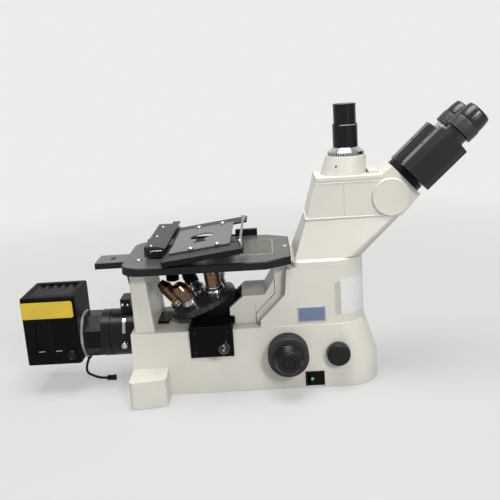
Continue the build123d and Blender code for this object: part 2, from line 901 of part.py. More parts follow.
dimmer_plane = along_x(dimmer_y, dimmer_z)
dimmer_back_x = -base_half_width - dimmer_stand_off
pot_near_x = -cavity_half_width + dimmer_pot_gap
with BuildPart() as brightness_knob:
    turned(dimmer_plane, [
        (0, dimmer_back_x - dimmer_length),
        (dimmer_face_r, dimmer_back_x - dimmer_length),
        (dimmer_r, dimmer_back_x),
        (dimmer_shaft_r, dimmer_back_x),
        (dimmer_shaft_r, pot_near_x + dimmer_pot_length / 2),
        (0, pot_near_x + dimmer_pot_length / 2),
    ])
finish(brightness_knob, "brightness_knob")

inlet_near_x = inlet_x - inlet_half_width
inlet_far_x = inlet_x + inlet_half_width
inlet_floor_y = base_rear_y + inlet_flange - inlet_hollow
with BuildPart() as power_supply:
    block(transformer_x, transformer_y, (plate_top_z, plate_top_z + transformer_height))
    block(board_x, transformer_y, (plate_top_z, plate_top_z + board_thickness))
    block(
        (inlet_near_x - inlet_rim, inlet_far_x + inlet_rim),
        (base_rear_y, base_rear_y + inlet_flange),
        (inlet_z - inlet_half_height - inlet_rim, inlet_z + inlet_half_height + inlet_rim),
    )
    block(
        (inlet_near_x, inlet_far_x),
        (base_rear_y - inlet_depth, base_rear_y),
        (inlet_z - inlet_half_height, inlet_z + inlet_half_height),
    )
    block(
        (inlet_near_x + inlet_wall, inlet_far_x - inlet_wall),
        (inlet_floor_y, base_rear_y + inlet_flange),
        (inlet_z - inlet_half_height + inlet_wall, inlet_z + inlet_half_height - inlet_wall),
        mode=Mode.SUBTRACT,
    )
    for pin_x in (inlet_x - inlet_pin_pitch, inlet_x, inlet_x + inlet_pin_pitch):
        block(
            (pin_x - inlet_pin / 2, pin_x + inlet_pin / 2),
            (inlet_floor_y, inlet_floor_y + inlet_pin_length),
            (inlet_z - inlet_pin, inlet_z + inlet_pin),
        )
    block(
        (pot_near_x, pot_near_x + dimmer_pot_length),
        (dimmer_y - dimmer_post, dimmer_y + dimmer_post),
        (plate_top_z, dimmer_z),
    )
    rod(dimmer_plane, dimmer_pot_r, pot_near_x, pot_near_x + dimmer_pot_length)
    rod(dimmer_plane, dimmer_shaft_r + running_gap, pot_near_x, pot_near_x + dimmer_pot_length, mode=Mode.SUBTRACT)
finish(power_supply, "power_supply")

with BuildPart() as base_optics:
    side_profile([
        (optical_y + mirror_half_length, plate_top_z),
        (optical_y - mirror_half_length, plate_top_z),
        (optical_y - mirror_half_length, plate_top_z + mirror_lip),
        (optical_y + mirror_half_length, plate_top_z + mirror_height),
    ], mirror_half_width)
    side_profile([
        (light_path_y - mirror_half_length, plate_top_z),
        (light_path_y + mirror_half_length, plate_top_z),
        (light_path_y + mirror_half_length, plate_top_z + mirror_lip),
        (light_path_y - mirror_half_length, plate_top_z + mirror_height),
    ], mirror_half_width)
    block(
        (-lens_stand_half_width, lens_stand_half_width),
        (lens_stand_y - lens_stand_depth / 2, lens_stand_y + lens_stand_depth / 2),
        (plate_top_z, plate_top_z + lens_stand_height),
    )
    rod(along_y(0, guide_light_z), guide_light_r, lens_stand_y - lens_stand_depth,
        lens_stand_y + lens_stand_depth, mode=Mode.SUBTRACT)
finish(base_optics, "base_optics")

with BuildPart() as focus_guide:
    block((-guide_half_width, guide_half_width), (guide_front_y, guide_rear_y), (plate_top_z, cavity_top_z))
    block(
        (-slide_half_width - running_gap, slide_half_width + running_gap),
        (slide_front_y - running_gap, slide_front_y + slide_thickness + running_gap),
        (plate_top_z, cavity_top_z),
        mode=Mode.SUBTRACT,
    )
    block(
        (-rack_half_width - fit_gap, rack_half_width + fit_gap),
        (guide_front_y, slide_front_y),
        (slide_bottom_z - overrun, cavity_top_z),
        mode=Mode.SUBTRACT,
    )
    block(
        (-guide_rear_opening, guide_rear_opening),
        (slide_front_y + slide_thickness, guide_rear_y),
        (plate_top_z, cavity_top_z),
        mode=Mode.SUBTRACT,
    )
    rod(along_y(0, guide_light_z), guide_light_r, guide_front_y, guide_rear_y, mode=Mode.SUBTRACT)
finish(focus_guide, "focus_guide")

disc_bottom = -turret_rim_bottom - sliding_gap
turret_tan = tan(radians(turret_tilt))


def under_disc_z(y):
    """Height of the sloping face that lies just below the turning disc."""
    start_y = turret_y + disc_bottom * sin(radians(turret_tilt))
    start_z = base_top_z + turret_rise + disc_bottom * cos(radians(turret_tilt))
    return start_z - (y - start_y) * turret_tan


with BuildPart() as focus_carriage:
    block(
        (-slide_half_width, slide_half_width),
        (slide_front_y, slide_front_y + slide_thickness),
        (slide_bottom_z, carrier_bottom_z + carrier_arm),
    )
    block(
        (-slide_half_width, slide_half_width),
        (slide_front_y + slide_thickness, carrier_front_y),
        (carrier_bottom_z, carrier_bottom_z + carrier_arm),
    )
    side_profile([
        (carrier_front_y, carrier_bottom_z),
        (carrier_rear_y, carrier_bottom_z),
        (carrier_rear_y, under_disc_z(carrier_rear_y)),
        (carrier_wedge_y, under_disc_z(carrier_wedge_y)),
        (carrier_front_y, carrier_bottom_z + carrier_arm + carrier_step),
    ], slide_half_width)
    rod(optical_axis, carrier_light_r, carrier_bottom_z - overrun, stage_bottom_z, mode=Mode.SUBTRACT)
    rod(turret_axis, turret_stud_r, -turret_stud_length, 0, mode=Mode.SUBTRACT)
finish(focus_carriage, "focus_carriage")

flank_tan = tan(radians(pressure_angle))
tooth_half_width = pi * gear_module / 4 - tooth_backlash / 4
rack_pitch_y = focus_y + pinion_pitch_r
rack_root_y = rack_pitch_y + tooth_dedendum
rack_tip_y = rack_pitch_y - rack_addendum
rack_points = [(slide_front_y, focus_z - rack_teeth * gear_module * pi / 2)]
for tooth in range(rack_teeth):
    tooth_z = focus_z + (tooth + 1 / 2 - rack_teeth / 2) * gear_module * pi
    root_half = tooth_half_width + tooth_dedendum * flank_tan
    tip_half = tooth_half_width - rack_addendum * flank_tan
    rack_points += [
        (rack_root_y, tooth_z - root_half),
        (rack_tip_y, tooth_z - tip_half),
        (rack_tip_y, tooth_z + tip_half),
        (rack_root_y, tooth_z + root_half),
    ]
rack_points += [(slide_front_y, focus_z + rack_teeth * gear_module * pi / 2)]
with BuildPart() as focus_rack:
    side_profile(rack_points, rack_half_width)
finish(focus_rack, "focus_rack")

pinion_tip_r = pinion_pitch_r + gear_module
pinion_root_r = pinion_pitch_r - tooth_dedendum * gear_module
pinion_base_r = pinion_pitch_r * cos(radians(pressure_angle))


def involute_angle(radius):
    """Turn of an involute flank at a radius, from where it leaves the base circle."""
    roll = max((radius / pinion_base_r) ** 2 - 1, 0) ** (1 / 2)
    return roll - atan(roll)


pinion_points = []
flank_radii = [pinion_root_r, pinion_base_r, pinion_pitch_r, (pinion_pitch_r + pinion_tip_r) / 2, pinion_tip_r]
for tooth in range(pinion_teeth):
    middle = 2 * pi * tooth / pinion_teeth
    flank = [(radius, tooth_half_width / pinion_pitch_r + involute_angle(pinion_pitch_r) - involute_angle(radius))
             for radius in flank_radii]
    for radius, half_angle in flank:
        pinion_points.append((radius * cos(middle - half_angle), radius * sin(middle - half_angle)))
    for radius, half_angle in reversed(flank):
        pinion_points.append((radius * cos(middle + half_angle), radius * sin(middle + half_angle)))

focus_axis = along_x(focus_y, focus_z)
fine_bore_r = fine_shaft_r + running_gap
with BuildPart() as coarse_knobs:
    turned(focus_axis, [
        (fine_bore_r, -coarse_outer_x),
        (coarse_knob_r, -coarse_outer_x),
        (coarse_knob_r, -coarse_inner_x),
        (coarse_shaft_r, -coarse_inner_x),
        (coarse_shaft_r, coarse_inner_x),
        (coarse_knob_r, coarse_inner_x),
        (coarse_knob_r, coarse_outer_x),
        (fine_bore_r, coarse_outer_x),
    ])
    with BuildSketch(focus_axis):
        with BuildLine():
            Polyline(*pinion_points, close=True)
        make_face()
        Circle(radius=fine_bore_r, mode=Mode.SUBTRACT)
    extrude(amount=pinion_half_width, both=True)
finish(coarse_knobs, "coarse_knobs")

fine_inner_x = coarse_outer_x + fit_gap
with BuildPart() as fine_knobs:
    turned(focus_axis, [
        (0, -fine_face_x),
        (fine_face_r, -fine_face_x),
        (fine_knob_r, -fine_rim_x),
        (fine_knob_r, -fine_inner_x),
        (fine_shaft_r, -fine_inner_x),
        (fine_shaft_r, fine_inner_x),
        (fine_knob_r, fine_inner_x),
        (fine_knob_r, fine_rim_x),
        (fine_face_r, fine_face_x),
        (0, fine_face_x),
    ])
finish(fine_knobs, "fine_knobs")

with BuildPart() as turret_disc:
    turned(turret_axis, [
        (turret_stud_r, -turret_rim_bottom),
        (turret_rim_r, -turret_rim_bottom),
        (turret_rim_r, -turret_rim_top),
        (turret_hub_r, turret_hub_height),
        (turret_stud_r, turret_hub_height),
    ])
    for index in range(objective_count):
        rod(seat_plane(index), turret_spot_r, -turret_spot_depth, overrun, mode=Mode.SUBTRACT)
        rod(seat_plane(index), thread_r + running_gap, -thread_bore_length, overrun, mode=Mode.SUBTRACT)
finish(turret_disc, "turret_disc")

with BuildPart() as turret_pivot:
    turned(turret_axis, [
        (0, -turret_stud_length + fit_gap),
        (turret_stud_r - running_gap, -turret_stud_length + fit_gap),
        (turret_stud_r - running_gap, turret_hub_height + running_gap),
        (turret_stud_head_r, turret_hub_height + running_gap),
        (turret_stud_head_r - turret_stud_head / 2, turret_hub_height + turret_stud_head),
        (0, turret_hub_height + turret_stud_head),
    ])
finish(turret_pivot, "turret_pivot")

for index in range(objective_count):
    collar_r = objective_collar_r * collar_r_shares[index]
    with BuildPart() as objective:
        rod(seat_plane(index), thread_r, -thread_length, 0)
        with BuildSketch(seat_plane(index).offset(-turret_spot_depth)):
            RegularPolygon(radius=collar_r, side_count=collar_flats)
        extrude(amount=turret_spot_depth + objective_collar_height)
        turned(seat_plane(index), [
            (0, objective_collar_height),
            (objective_barrel_r[index], objective_collar_height),
            (objective_barrel_r[index], objective_barrel_height[index]),
            (objective_nose_r[index], objective_height[index]),
            (0, objective_height[index]),
        ])
    finish(objective, "objective_" + str(index + 1))

neck_top_z = cap_top_z + neck_height
with BuildPart() as head_neck:
    neck_foot = nose_outline(cap_top_z, neck_half_width, neck_rear_y, neck_rear_y - neck_depth, neck_corner_r)
    neck_head = nose_outline(neck_top_z, head_half_width, head_rear_y, head_front_y, head_corner_r)
    loft([neck_foot, neck_head], ruled=True)
    block(
        (-neck_core_half_width, neck_core_half_width),
        (neck_rear_y - neck_depth + neck_wall, head_rear_y - neck_wall),
        (cap_top_z, neck_top_z - neck_wall),
        mode=Mode.SUBTRACT,
    )
    rod(light_path, light_path_r, cap_top_z, neck_top_z, mode=Mode.SUBTRACT)
finish(head_neck, "head_neck")

head_top_z = neck_top_z + head_top_rise
flange_sin = sin(radians(bino_slope))
flange_cos = cos(radians(bino_slope))
with BuildPart() as head_block:
    side_profile([
        (head_rear_y, neck_top_z),
        (head_rear_y - head_rear_slope, neck_top_z + head_rear_rise),
        (head_rear_y - head_rear_slope - head_corner_cut, head_top_z),
        (head_crown_y, head_top_z),
        (bino_y + flange_r * flange_sin, bino_z + flange_r * flange_cos),
        (bino_y - flange_r * flange_sin, bino_z - flange_r * flange_cos),
        (head_front_y, neck_top_z),
    ], head_half_width)
    with BuildSketch(Plane.XY.offset(neck_top_z)) as head_plan:
        with BuildLine():
            Polyline(
                (head_half_width, head_rear_y),
                (-head_half_width, head_rear_y),
                (-head_half_width, head_taper_y),
                (-flange_r, bino_y - flange_r * flange_sin),
                (flange_r, bino_y - flange_r * flange_sin),
                (head_half_width, head_taper_y),
                close=True,
            )
        make_face()
    extrude(head_plan.sketch, amount=head_top_rise + flange_r, mode=Mode.INTERSECT)
    block(
        (-head_step_half_width, head_step_half_width),
        (head_step_y - head_step_depth, head_step_y),
        (head_top_z - head_wall, head_top_z + head_step_height),
    )
    rod(along_x(head_disc_y, neck_top_z + head_disc_rise), head_disc_r, -head_half_width - head_disc_height,
        head_half_width + head_disc_height)
    block(
        (-head_half_width + head_wall, head_half_width - head_wall),
        (head_cavity_front_y, head_cavity_rear_y),
        (neck_top_z + head_floor, head_top_z - head_wall),
        mode=Mode.SUBTRACT,
    )
    rod(light_path, light_path_r, neck_top_z - overrun, head_top_z + overrun, mode=Mode.SUBTRACT)
    rod(bino_axis, hinge_spigot_r + running_gap, -hinge_socket, overrun, mode=Mode.SUBTRACT)
    rod(bino_axis, light_tube_r, -hinge_socket - head_light_run, 0, mode=Mode.SUBTRACT)
    rod(along_x(light_path_y, neck_top_z + selector_rise), selector_r + running_gap, 0,
        head_half_width + overrun, mode=Mode.SUBTRACT)
finish(head_block, "head_block")

prism_bottom_z = neck_top_z + head_floor + running_gap
with BuildPart() as path_selector:
    block(
        (-prism_half, prism_half),
        (light_path_y - prism_half, light_path_y + prism_half),
        (prism_bottom_z, prism_bottom_z + prism_height),
    )
    turned(along_x(light_path_y, neck_top_z + selector_rise), [
        (0, prism_half),
        (selector_r, prism_half),
        (selector_r, head_half_width + fit_gap),
        (selector_knob_r, head_half_width + fit_gap),
        (selector_knob_r, head_half_width + fit_gap + selector_knob_length),
        (0, head_half_width + fit_gap + selector_knob_length),
    ])
finish(path_selector, "path_selector")

port_top_z = head_top_z + port_height
with BuildPart() as photo_port:
    with BuildSketch(Plane.XY.offset(head_top_z)) as port_foot:
        with Locations((0, light_path_y + port_base_r - port_top_r)):
            Circle(port_base_r)
    with BuildSketch(Plane.XY.offset(port_top_z)) as port_head:
        with Locations((0, light_path_y)):
            Circle(port_top_r)
    loft([port_foot.sketch, port_head.sketch], ruled=True)
    rod(light_path, spigot_r + running_gap, head_top_z, port_top_z, mode=Mode.SUBTRACT)
finish(photo_port, "photo_port")

clamp_top_z = port_top_z + clamp_height + clamp_cone_height
with BuildPart() as clamp_ring:
    turned(light_path, [
        (spigot_r + running_gap, port_top_z),
        (clamp_r, port_top_z),
        (clamp_r, port_top_z + clamp_height),
        (clamp_top_r, clamp_top_z),
        (spigot_r + running_gap, clamp_top_z),
    ])
finish(clamp_ring, "clamp_ring")

camera_top_z = clamp_top_z + camera_height
with BuildPart() as camera_tube:
    turned(light_path, [
        (camera_bore_r, head_top_z + fit_gap),
        (spigot_r, head_top_z + fit_gap),
        (spigot_r, clamp_top_z),
        (camera_r, clamp_top_z),
        (camera_r, clamp_top_z + camera_step),
        (camera_upper_r, clamp_top_z + camera_step),
        (camera_upper_r, camera_top_z),
        (camera_thread_r, camera_top_z),
        (camera_thread_r, camera_top_z - camera_thread_depth),
        (camera_bore_r, camera_top_z - camera_thread_depth),
    ])
finish(camera_tube, "camera_tube")

near_lug = (flange_height + running_gap, flange_height + running_gap + lug_height)
far_lug = (near_lug[1] + running_gap, near_lug[1] + running_gap + lug_height)
hinge_end = far_lug[1] + running_gap
with BuildPart() as binocular_base:
    turned(bino_axis, [
        (hinge_bore_r, -hinge_socket + running_gap),
        (hinge_spigot_r, -hinge_socket + running_gap),
        (hinge_spigot_r, 0),
        (flange_r, 0),
        (flange_r, flange_height),
        (hinge_r, flange_height),
        (hinge_r, hinge_end),
        (hinge_head_r, hinge_end),
        (hinge_head_r, hinge_end + hinge_head),
        (hinge_bore_r, hinge_end + hinge_head),
    ])
finish(binocular_base, "binocular_base")

prism_box_start = flange_height + prism_box_gap
diopter_start = prism_box_start + prism_box_height + diopter_stand_off
tangent_run = (tube_offset ** 2 - prism_box_r ** 2) ** (1 / 2)
tangent_turn = asin(prism_box_r / tube_offset)
for side, own_lug, other_lug, label in ((-1, near_lug, far_lug, "left"), (1, far_lug, near_lug, "right")):
    tube_x = side * tube_offset * cos(radians(tube_drop))
    tube_y = -tube_offset * sin(radians(tube_drop))
    tube_axis = Plane(origin=bino_axis.from_local_coords((tube_x, tube_y, 0)), x_dir=(1, 0, 0), z_dir=bino_axis.z_dir)
    wedge = []
    for turn in (tangent_turn, -tangent_turn):
        wedge_angle = turn - radians(tube_drop)
        wedge.append((side * tangent_run * cos(wedge_angle), tangent_run * sin(wedge_angle)))
    with BuildPart() as prism_box:
        with BuildSketch(bino_axis.offset(prism_box_start)):
            with BuildLine():
                Polyline((0, 0), wedge[0], (tube_x, tube_y), wedge[1], close=True)
            make_face()
            with Locations((tube_x, tube_y)):
                Circle(prism_box_r)
            corner_x = tube_x + side * (prism_box_r - prism_box_facet_x)
            face_x = tube_x + side * prism_box_r
            with BuildLine():
                Polyline(
                    (tube_x, tube_y + prism_box_r),
                    (corner_x, tube_y + prism_box_r),
                    (face_x, tube_y + prism_box_r - prism_box_facet_y),
                    (face_x, tube_y - prism_box_r + prism_box_facet_y),
                    (corner_x, tube_y - prism_box_r),
                    (tube_x, tube_y - prism_box_r),
                    close=True,
                )
            make_face()
            Circle(prism_box_core, mode=Mode.SUBTRACT)
        extrude(amount=prism_box_height)
        rod(bino_axis, lug_r + fit_gap, other_lug[0] - running_gap, other_lug[1] + fit_gap, mode=Mode.SUBTRACT)
        rod(bino_axis, lug_r, own_lug[0], own_lug[1])
        rod(bino_axis, hinge_r + running_gap, own_lug[0], own_lug[1], mode=Mode.SUBTRACT)
        rod(tube_axis, barrel_r + running_gap, prism_box_start + prism_box_height - barrel_socket,
            prism_box_start + prism_box_height, mode=Mode.SUBTRACT)
        rod(tube_axis, light_tube_r, near_lug[0], prism_box_start + prism_box_height, mode=Mode.SUBTRACT)
    finish(prism_box, label + "_prism_box")
    barrel_start = prism_box_start + prism_box_height - barrel_socket
    ring_top = diopter_start + diopter_length
    with BuildPart() as eyepiece:
        turned(tube_axis, [
            (0, barrel_start),
            (barrel_r, barrel_start),
            (barrel_r, diopter_start),
            (diopter_neck_r, diopter_start),
            (diopter_neck_r, ring_top),
            (eyepiece_r, ring_top),
            (eyepiece_end_r, ring_top + eyepiece_length),
            (eyepiece_lens_r, ring_top + eyepiece_length),
            (eyepiece_lens_r, ring_top + eyepiece_length - eyepiece_lip),
            (0, ring_top + eyepiece_length - eyepiece_lip),
        ])
    finish(eyepiece, label + "_eyepiece")
    with BuildPart() as diopter_ring:
        turned(tube_axis, [
            (diopter_neck_r + running_gap, diopter_start + running_gap),
            (diopter_r, diopter_start + running_gap),
            (diopter_r, ring_top - running_gap),
            (diopter_neck_r + running_gap, ring_top - running_gap),
        ])
    finish(diopter_ring, label + "_diopter_ring")

rail_near_x = stage_half_width + rail_stand_off
rail_top_z = stage_top_z + rail_rise
rail_bottom_z = rail_top_z - rail_height
rail_far_x = rail_near_x + rail_width
carriage_far_x = rail_far_x + carriage_reach
knob_x = carriage_far_x - knob_inset
beam_far_x = carriage_far_x + beam_lap
beam_tail_x = beam_far_x + beam_tail
web_half = rail_web_share * rail_height / 2
web_middle_z = (rail_top_z + rail_bottom_z) / 2
with BuildPart() as stage_rail:
    with BuildSketch(Plane.XZ.offset(-rail_rear_y)):
        with BuildLine():
            Polyline(
                (stage_half_width, web_middle_z - web_half),
                (rail_near_x, web_middle_z - web_half),
                (rail_near_x, rail_bottom_z),
                (rail_far_x, rail_bottom_z),
                (rail_far_x, rail_top_z),
                (rail_near_x, rail_top_z),
                (rail_near_x, web_middle_z + web_half),
                (stage_half_width, web_middle_z + web_half),
                close=True,
            )
        make_face()
    extrude(amount=rail_rear_y - rail_front_y)
    block(
        (rail_near_x, rail_far_x + rail_stop_lip),
        (rail_front_y, rail_front_y + rail_stop_length),
        (rail_top_z, stage_top_z + rail_stop_rise),
    )
finish(stage_rail, "stage_rail")

carriage_top_z = stage_top_z + beam_bottom_rise
carriage_bottom_z = rail_bottom_z - carriage_wall
y_knob_top_z = carriage_bottom_z - y_knob_drop
y_knob_bottom_z = y_knob_top_z - y_knob_length
x_knob_top_z = y_knob_bottom_z - knob_gap
knob_axis = Plane(origin=(knob_x, carriage_front_y + carriage_length / 2, 0))
with BuildPart() as y_carriage:
    with BuildSketch(Plane.XZ.offset(-carriage_front_y - carriage_length)):
        with BuildLine():
            Polyline(
                (stage_half_width + fit_gap, carriage_top_z),
                (stage_half_width + fit_gap, web_middle_z + web_half + fit_gap),
                (rail_near_x - running_gap, web_middle_z + web_half + fit_gap),
                (rail_near_x - running_gap, rail_top_z + running_gap),
                (rail_far_x + running_gap, rail_top_z + running_gap),
                (rail_far_x + running_gap, rail_bottom_z - running_gap),
                (rail_near_x - running_gap, rail_bottom_z - running_gap),
                (rail_near_x - running_gap, web_middle_z - web_half - fit_gap),
                (stage_half_width + fit_gap, web_middle_z - web_half - fit_gap),
                (stage_half_width + fit_gap, carriage_bottom_z),
                (carriage_far_x, carriage_bottom_z),
                (carriage_far_x, carriage_top_z),
                close=True,
            )
        make_face()
    extrude(amount=carriage_length)
    rod(knob_axis, y_shaft_r + running_gap, carriage_bottom_z, web_middle_z, mode=Mode.SUBTRACT)
    rod(knob_axis, knob_shaft_r + running_gap, web_middle_z, carriage_top_z, mode=Mode.SUBTRACT)
finish(y_carriage, "y_carriage")

with BuildPart() as y_drive_knob:
    turned(knob_axis, [
        (knob_shaft_r + running_gap, y_knob_bottom_z),
        (y_knob_r, y_knob_bottom_z),
        (y_knob_r, y_knob_top_z),
        (y_shaft_r, y_knob_top_z),
        (y_shaft_r, web_middle_z - fit_gap),
        (knob_shaft_r + running_gap, web_middle_z - fit_gap),
    ])
finish(y_drive_knob, "y_drive_knob")

with BuildPart() as x_drive_knob:
    turned(knob_axis, [
        (0, x_knob_top_z - x_knob_length),
        (x_knob_r, x_knob_top_z - x_knob_length),
        (x_knob_r, x_knob_top_z),
        (knob_shaft_r, x_knob_top_z),
        (knob_shaft_r, carriage_top_z - fit_gap),
        (0, carriage_top_z - fit_gap),
    ])
finish(x_drive_knob, "x_drive_knob")

beam_rear_y = beam_front_y + beam_depth
beam_top_z = carriage_top_z + beam_height
groove_bottom_z = carriage_top_z + beam_groove_rise
with BuildPart() as x_beam:
    with BuildSketch(Plane.YZ.offset(beam_near_x)):
        with BuildLine():
            Polyline(
                (beam_front_y, carriage_top_z),
                (beam_rear_y, carriage_top_z),
                (beam_rear_y, beam_top_z),
                (beam_rear_y - beam_flat, beam_top_z),
                (beam_front_y, beam_top_z - beam_chamfer_drop),
                close=True,
            )
        make_face()
    extrude(amount=beam_far_x - beam_near_x)
    block(
        (beam_far_x, beam_tail_x),
        (beam_front_y, beam_front_y + beam_tail_depth),
        (carriage_top_z, beam_top_z - beam_chamfer_drop),
    )
    block(
        (beam_near_x, beam_tail_x),
        (beam_front_y, beam_front_y + beam_groove_depth),
        (groove_bottom_z, groove_bottom_z + beam_groove_height),
        mode=Mode.SUBTRACT,
    )
finish(x_beam, "x_beam")

holder_near_x = holder_centre_x - holder_half_width
holder_far_x = holder_centre_x + holder_half_width
plate_near_x = holder_near_x + holder_arm_width - plate_lap
plate_far_x = holder_far_x - holder_arm_width + plate_lap
arm_top = holder_arm_thickness
plate_top = holder_arm_thickness + plate_thickness
with BuildPart() as specimen_arms:
    with BuildSketch(holder_plane):
        with Locations((holder_near_x + holder_arm_width / 2, -fit_gap - holder_arm_length / 2),
                       (holder_far_x - holder_arm_width / 2, -fit_gap - holder_arm_length / 2)):
            Rectangle(holder_arm_width, holder_arm_length)
        fillet(vertices().group_by(Axis.Y)[0], radius=holder_corner_r)
        with Locations((holder_centre_x, -fit_gap - holder_bar_depth / 2)):
            Rectangle(2 * holder_half_width - holder_arm_width, holder_bar_depth)
    extrude(amount=holder_arm_thickness)
    block(
        (holder_centre_x - shoe_half_length, holder_centre_x + shoe_half_length),
        (beam_front_y - fit_gap - holder_bar_depth / 2, beam_front_y + beam_groove_depth - fit_gap),
        (groove_bottom_z + running_gap, groove_bottom_z + beam_groove_height - running_gap),
    )
finish(specimen_arms, "specimen_arms")

with BuildPart() as holder_plate:
    with BuildSketch(holder_plane.offset(arm_top)):
        with Locations(((plate_near_x + plate_far_x) / 2, -(plate_front + plate_rear) / 2)):
            Rectangle(plate_far_x - plate_near_x, plate_front - plate_rear)
        with Locations((keyhole_x, keyhole_y)):
            Circle(keyhole_r, mode=Mode.SUBTRACT)
        with Locations(((keyhole_x + keyhole_end_x) / 2, keyhole_y)):
            Rectangle(keyhole_x - keyhole_end_x, keyhole_neck, mode=Mode.SUBTRACT)
        with Locations((keyhole_end_x + keyhole_tail_length / 2, keyhole_y)):
            Rectangle(keyhole_tail_length, keyhole_tail_width, mode=Mode.SUBTRACT)
    extrude(amount=plate_thickness)
finish(holder_plate, "holder_plate")

rod_z = arm_top + rod_post_height - rod_r
rod_y = -fit_gap - holder_arm_length + rod_inset
with BuildPart() as clamp_screws:
    with BuildSketch(holder_plane.offset(plate_top)):
        for share in clip_y_shares:
            with Locations((plate_near_x + clip_inset, -holder_arm_length * share),
                           (plate_far_x - clip_inset, -holder_arm_length * share)):
                Circle(clip_head_r)
    extrude(amount=clip_head_height)
    with BuildSketch(holder_plane.offset(arm_top)):
        with Locations((holder_near_x + rod_side_inset, rod_y), (holder_far_x - rod_side_inset, rod_y)):
            Circle(rod_post_r)
    extrude(amount=rod_post_height)
    rod_start = holder_plane.from_local_coords((holder_near_x + rod_side_inset, rod_y, rod_z))
    rod(Plane(origin=rod_start, x_dir=(0, 1, 0), z_dir=(1, 0, 0)), rod_r, 0,
        2 * (holder_half_width - rod_side_inset))
finish(clamp_screws, "clamp_screws")

lamp_axis = along_y(0, light_z)
adapter_rear_y = base_rear_y + adapter_length
with BuildPart() as lamp_adapter:
    turned(lamp_axis, [
        (adapter_bore_r, base_rear_y - adapter_snout_length),
        (adapter_snout_r, base_rear_y - adapter_snout_length),
        (adapter_snout_r, base_rear_y),
        (adapter_r, base_rear_y),
        (adapter_r, adapter_groove_y - adapter_groove / 2),
        (adapter_r - adapter_groove_depth, adapter_groove_y - adapter_groove / 2),
        (adapter_r - adapter_groove_depth, adapter_groove_y + adapter_groove / 2),
        (adapter_r, adapter_groove_y + adapter_groove / 2),
        (adapter_r, adapter_rear_y),
        (adapter_bore_r, adapter_rear_y),
    ])
    block(
        (-tray_half_width - fit_gap, tray_half_width + fit_gap),
        (tray_y - tray_thickness / 2 - fit_gap, tray_y + tray_thickness / 2 + fit_gap),
        (tray_bottom_z, tray_top_z),
        mode=Mode.SUBTRACT,
    )
    rod(along_x(screw_y, screw_z), screw_shaft_r + running_gap, -adapter_r - overrun,
        screw_knob_x + screw_shaft_length + overrun, mode=Mode.SUBTRACT)
finish(lamp_adapter, "lamp_adapter")

tray_grip_z = light_z + adapter_r + fit_gap
with BuildPart() as filter_tray:
    block(
        (-tray_half_width, tray_half_width),
        (tray_y - tray_thickness / 2, tray_y + tray_thickness / 2),
        (tray_bottom_z, tray_grip_z),
    )
    block(
        (-tray_grip_half_width, tray_grip_half_width),
        (tray_y - tray_grip / 2, tray_y + tray_grip / 2),
        (tray_grip_z, tray_top_z),
    )
    rod(lamp_axis, tray_window_r, tray_y - tray_thickness, tray_y + tray_thickness, mode=Mode.SUBTRACT)
finish(filter_tray, "filter_tray")

with BuildPart() as lamp_clamp_screw:
    turned(along_x(screw_y, screw_z), [
        (0, screw_knob_x - screw_knob_length),
        (screw_knob_r, screw_knob_x - screw_knob_length),
        (screw_knob_r, screw_knob_x),
        (screw_shaft_r, screw_knob_x),
        (screw_shaft_r, screw_knob_x + screw_shaft_length),
        (0, screw_knob_x + screw_shaft_length),
    ])
finish(lamp_clamp_screw, "lamp_clamp_screw")

block_rear_y = adapter_rear_y + block_length
lead_start = Vector(*lead_points[0])
lead_direction = (Vector(*lead_points[1]) - lead_start).normalized()
with BuildPart() as lamp_collector_block:
    turned(Plane(origin=lead_start, x_dir=(1, 0, 0), z_dir=-lead_direction), [
        (0, 0),
        (gland_tip_r, 0),
        (gland_r, gland_length / 2),
        (gland_r, 2 * gland_length),
        (0, 2 * gland_length),
    ])
    with BuildSketch(lamp_axis.offset(adapter_rear_y)):
        RegularPolygon(radius=block_apothem, side_count=block_sides, major_radius=False, rotation=180 / block_sides)
        Circle(adapter_bore_r, mode=Mode.SUBTRACT)
    extrude(amount=block_length)
finish(lamp_collector_block, "lamp_collector_block")

lamp_rear_y = block_rear_y + lamp_length
lamp_knob_y = block_rear_y + lamp_knob_drop
with BuildPart() as lamphouse_shell:
    block((-lamp_half_width, lamp_half_width), (block_rear_y, lamp_rear_y), (lamp_bottom_z, lamp_top_z))
    fillet(edges().filter_by(Axis.Z), radius=lamp_edge_r)
    fillet(edges().group_by(Axis.Z)[-1], radius=lamp_rim_r)
    block(
        (-lamp_half_width + lamp_wall, lamp_half_width - lamp_wall),
        (block_rear_y + lamp_wall, lamp_rear_y - lamp_wall),
        (lamp_bottom_z + lamp_wall, lamp_top_z - lamp_wall),
        mode=Mode.SUBTRACT,
    )
    block(
        (-vent_half_width, vent_half_width),
        (block_rear_y + vent_margin, lamp_rear_y - vent_margin),
        (lamp_top_z - lamp_wall - overrun, lamp_top_z + overrun),
        mode=Mode.SUBTRACT,
    )
    rod(lamp_axis, adapter_bore_r, block_rear_y - overrun, block_rear_y + lamp_wall + overrun, mode=Mode.SUBTRACT)
    rod(along_x(lamp_knob_y, lamp_knob_z), lamp_knob_shaft_r + running_gap, -lamp_half_width - overrun,
        -lamp_half_width + lamp_wall + overrun, mode=Mode.SUBTRACT)
    for share in lamp_groove_y_shares:
        groove_y = block_rear_y + lamp_length * share
        block(
            (-lamp_half_width - overrun, -lamp_half_width + lamp_groove_depth),
            (groove_y - lamp_groove_width / 2, groove_y + lamp_groove_width / 2),
            (lamp_bottom_z + lamp_groove_rise, lamp_bottom_z + lamp_groove_rise + lamp_groove_height),
            mode=Mode.SUBTRACT,
        )
finish(lamphouse_shell, "lamphouse_shell")

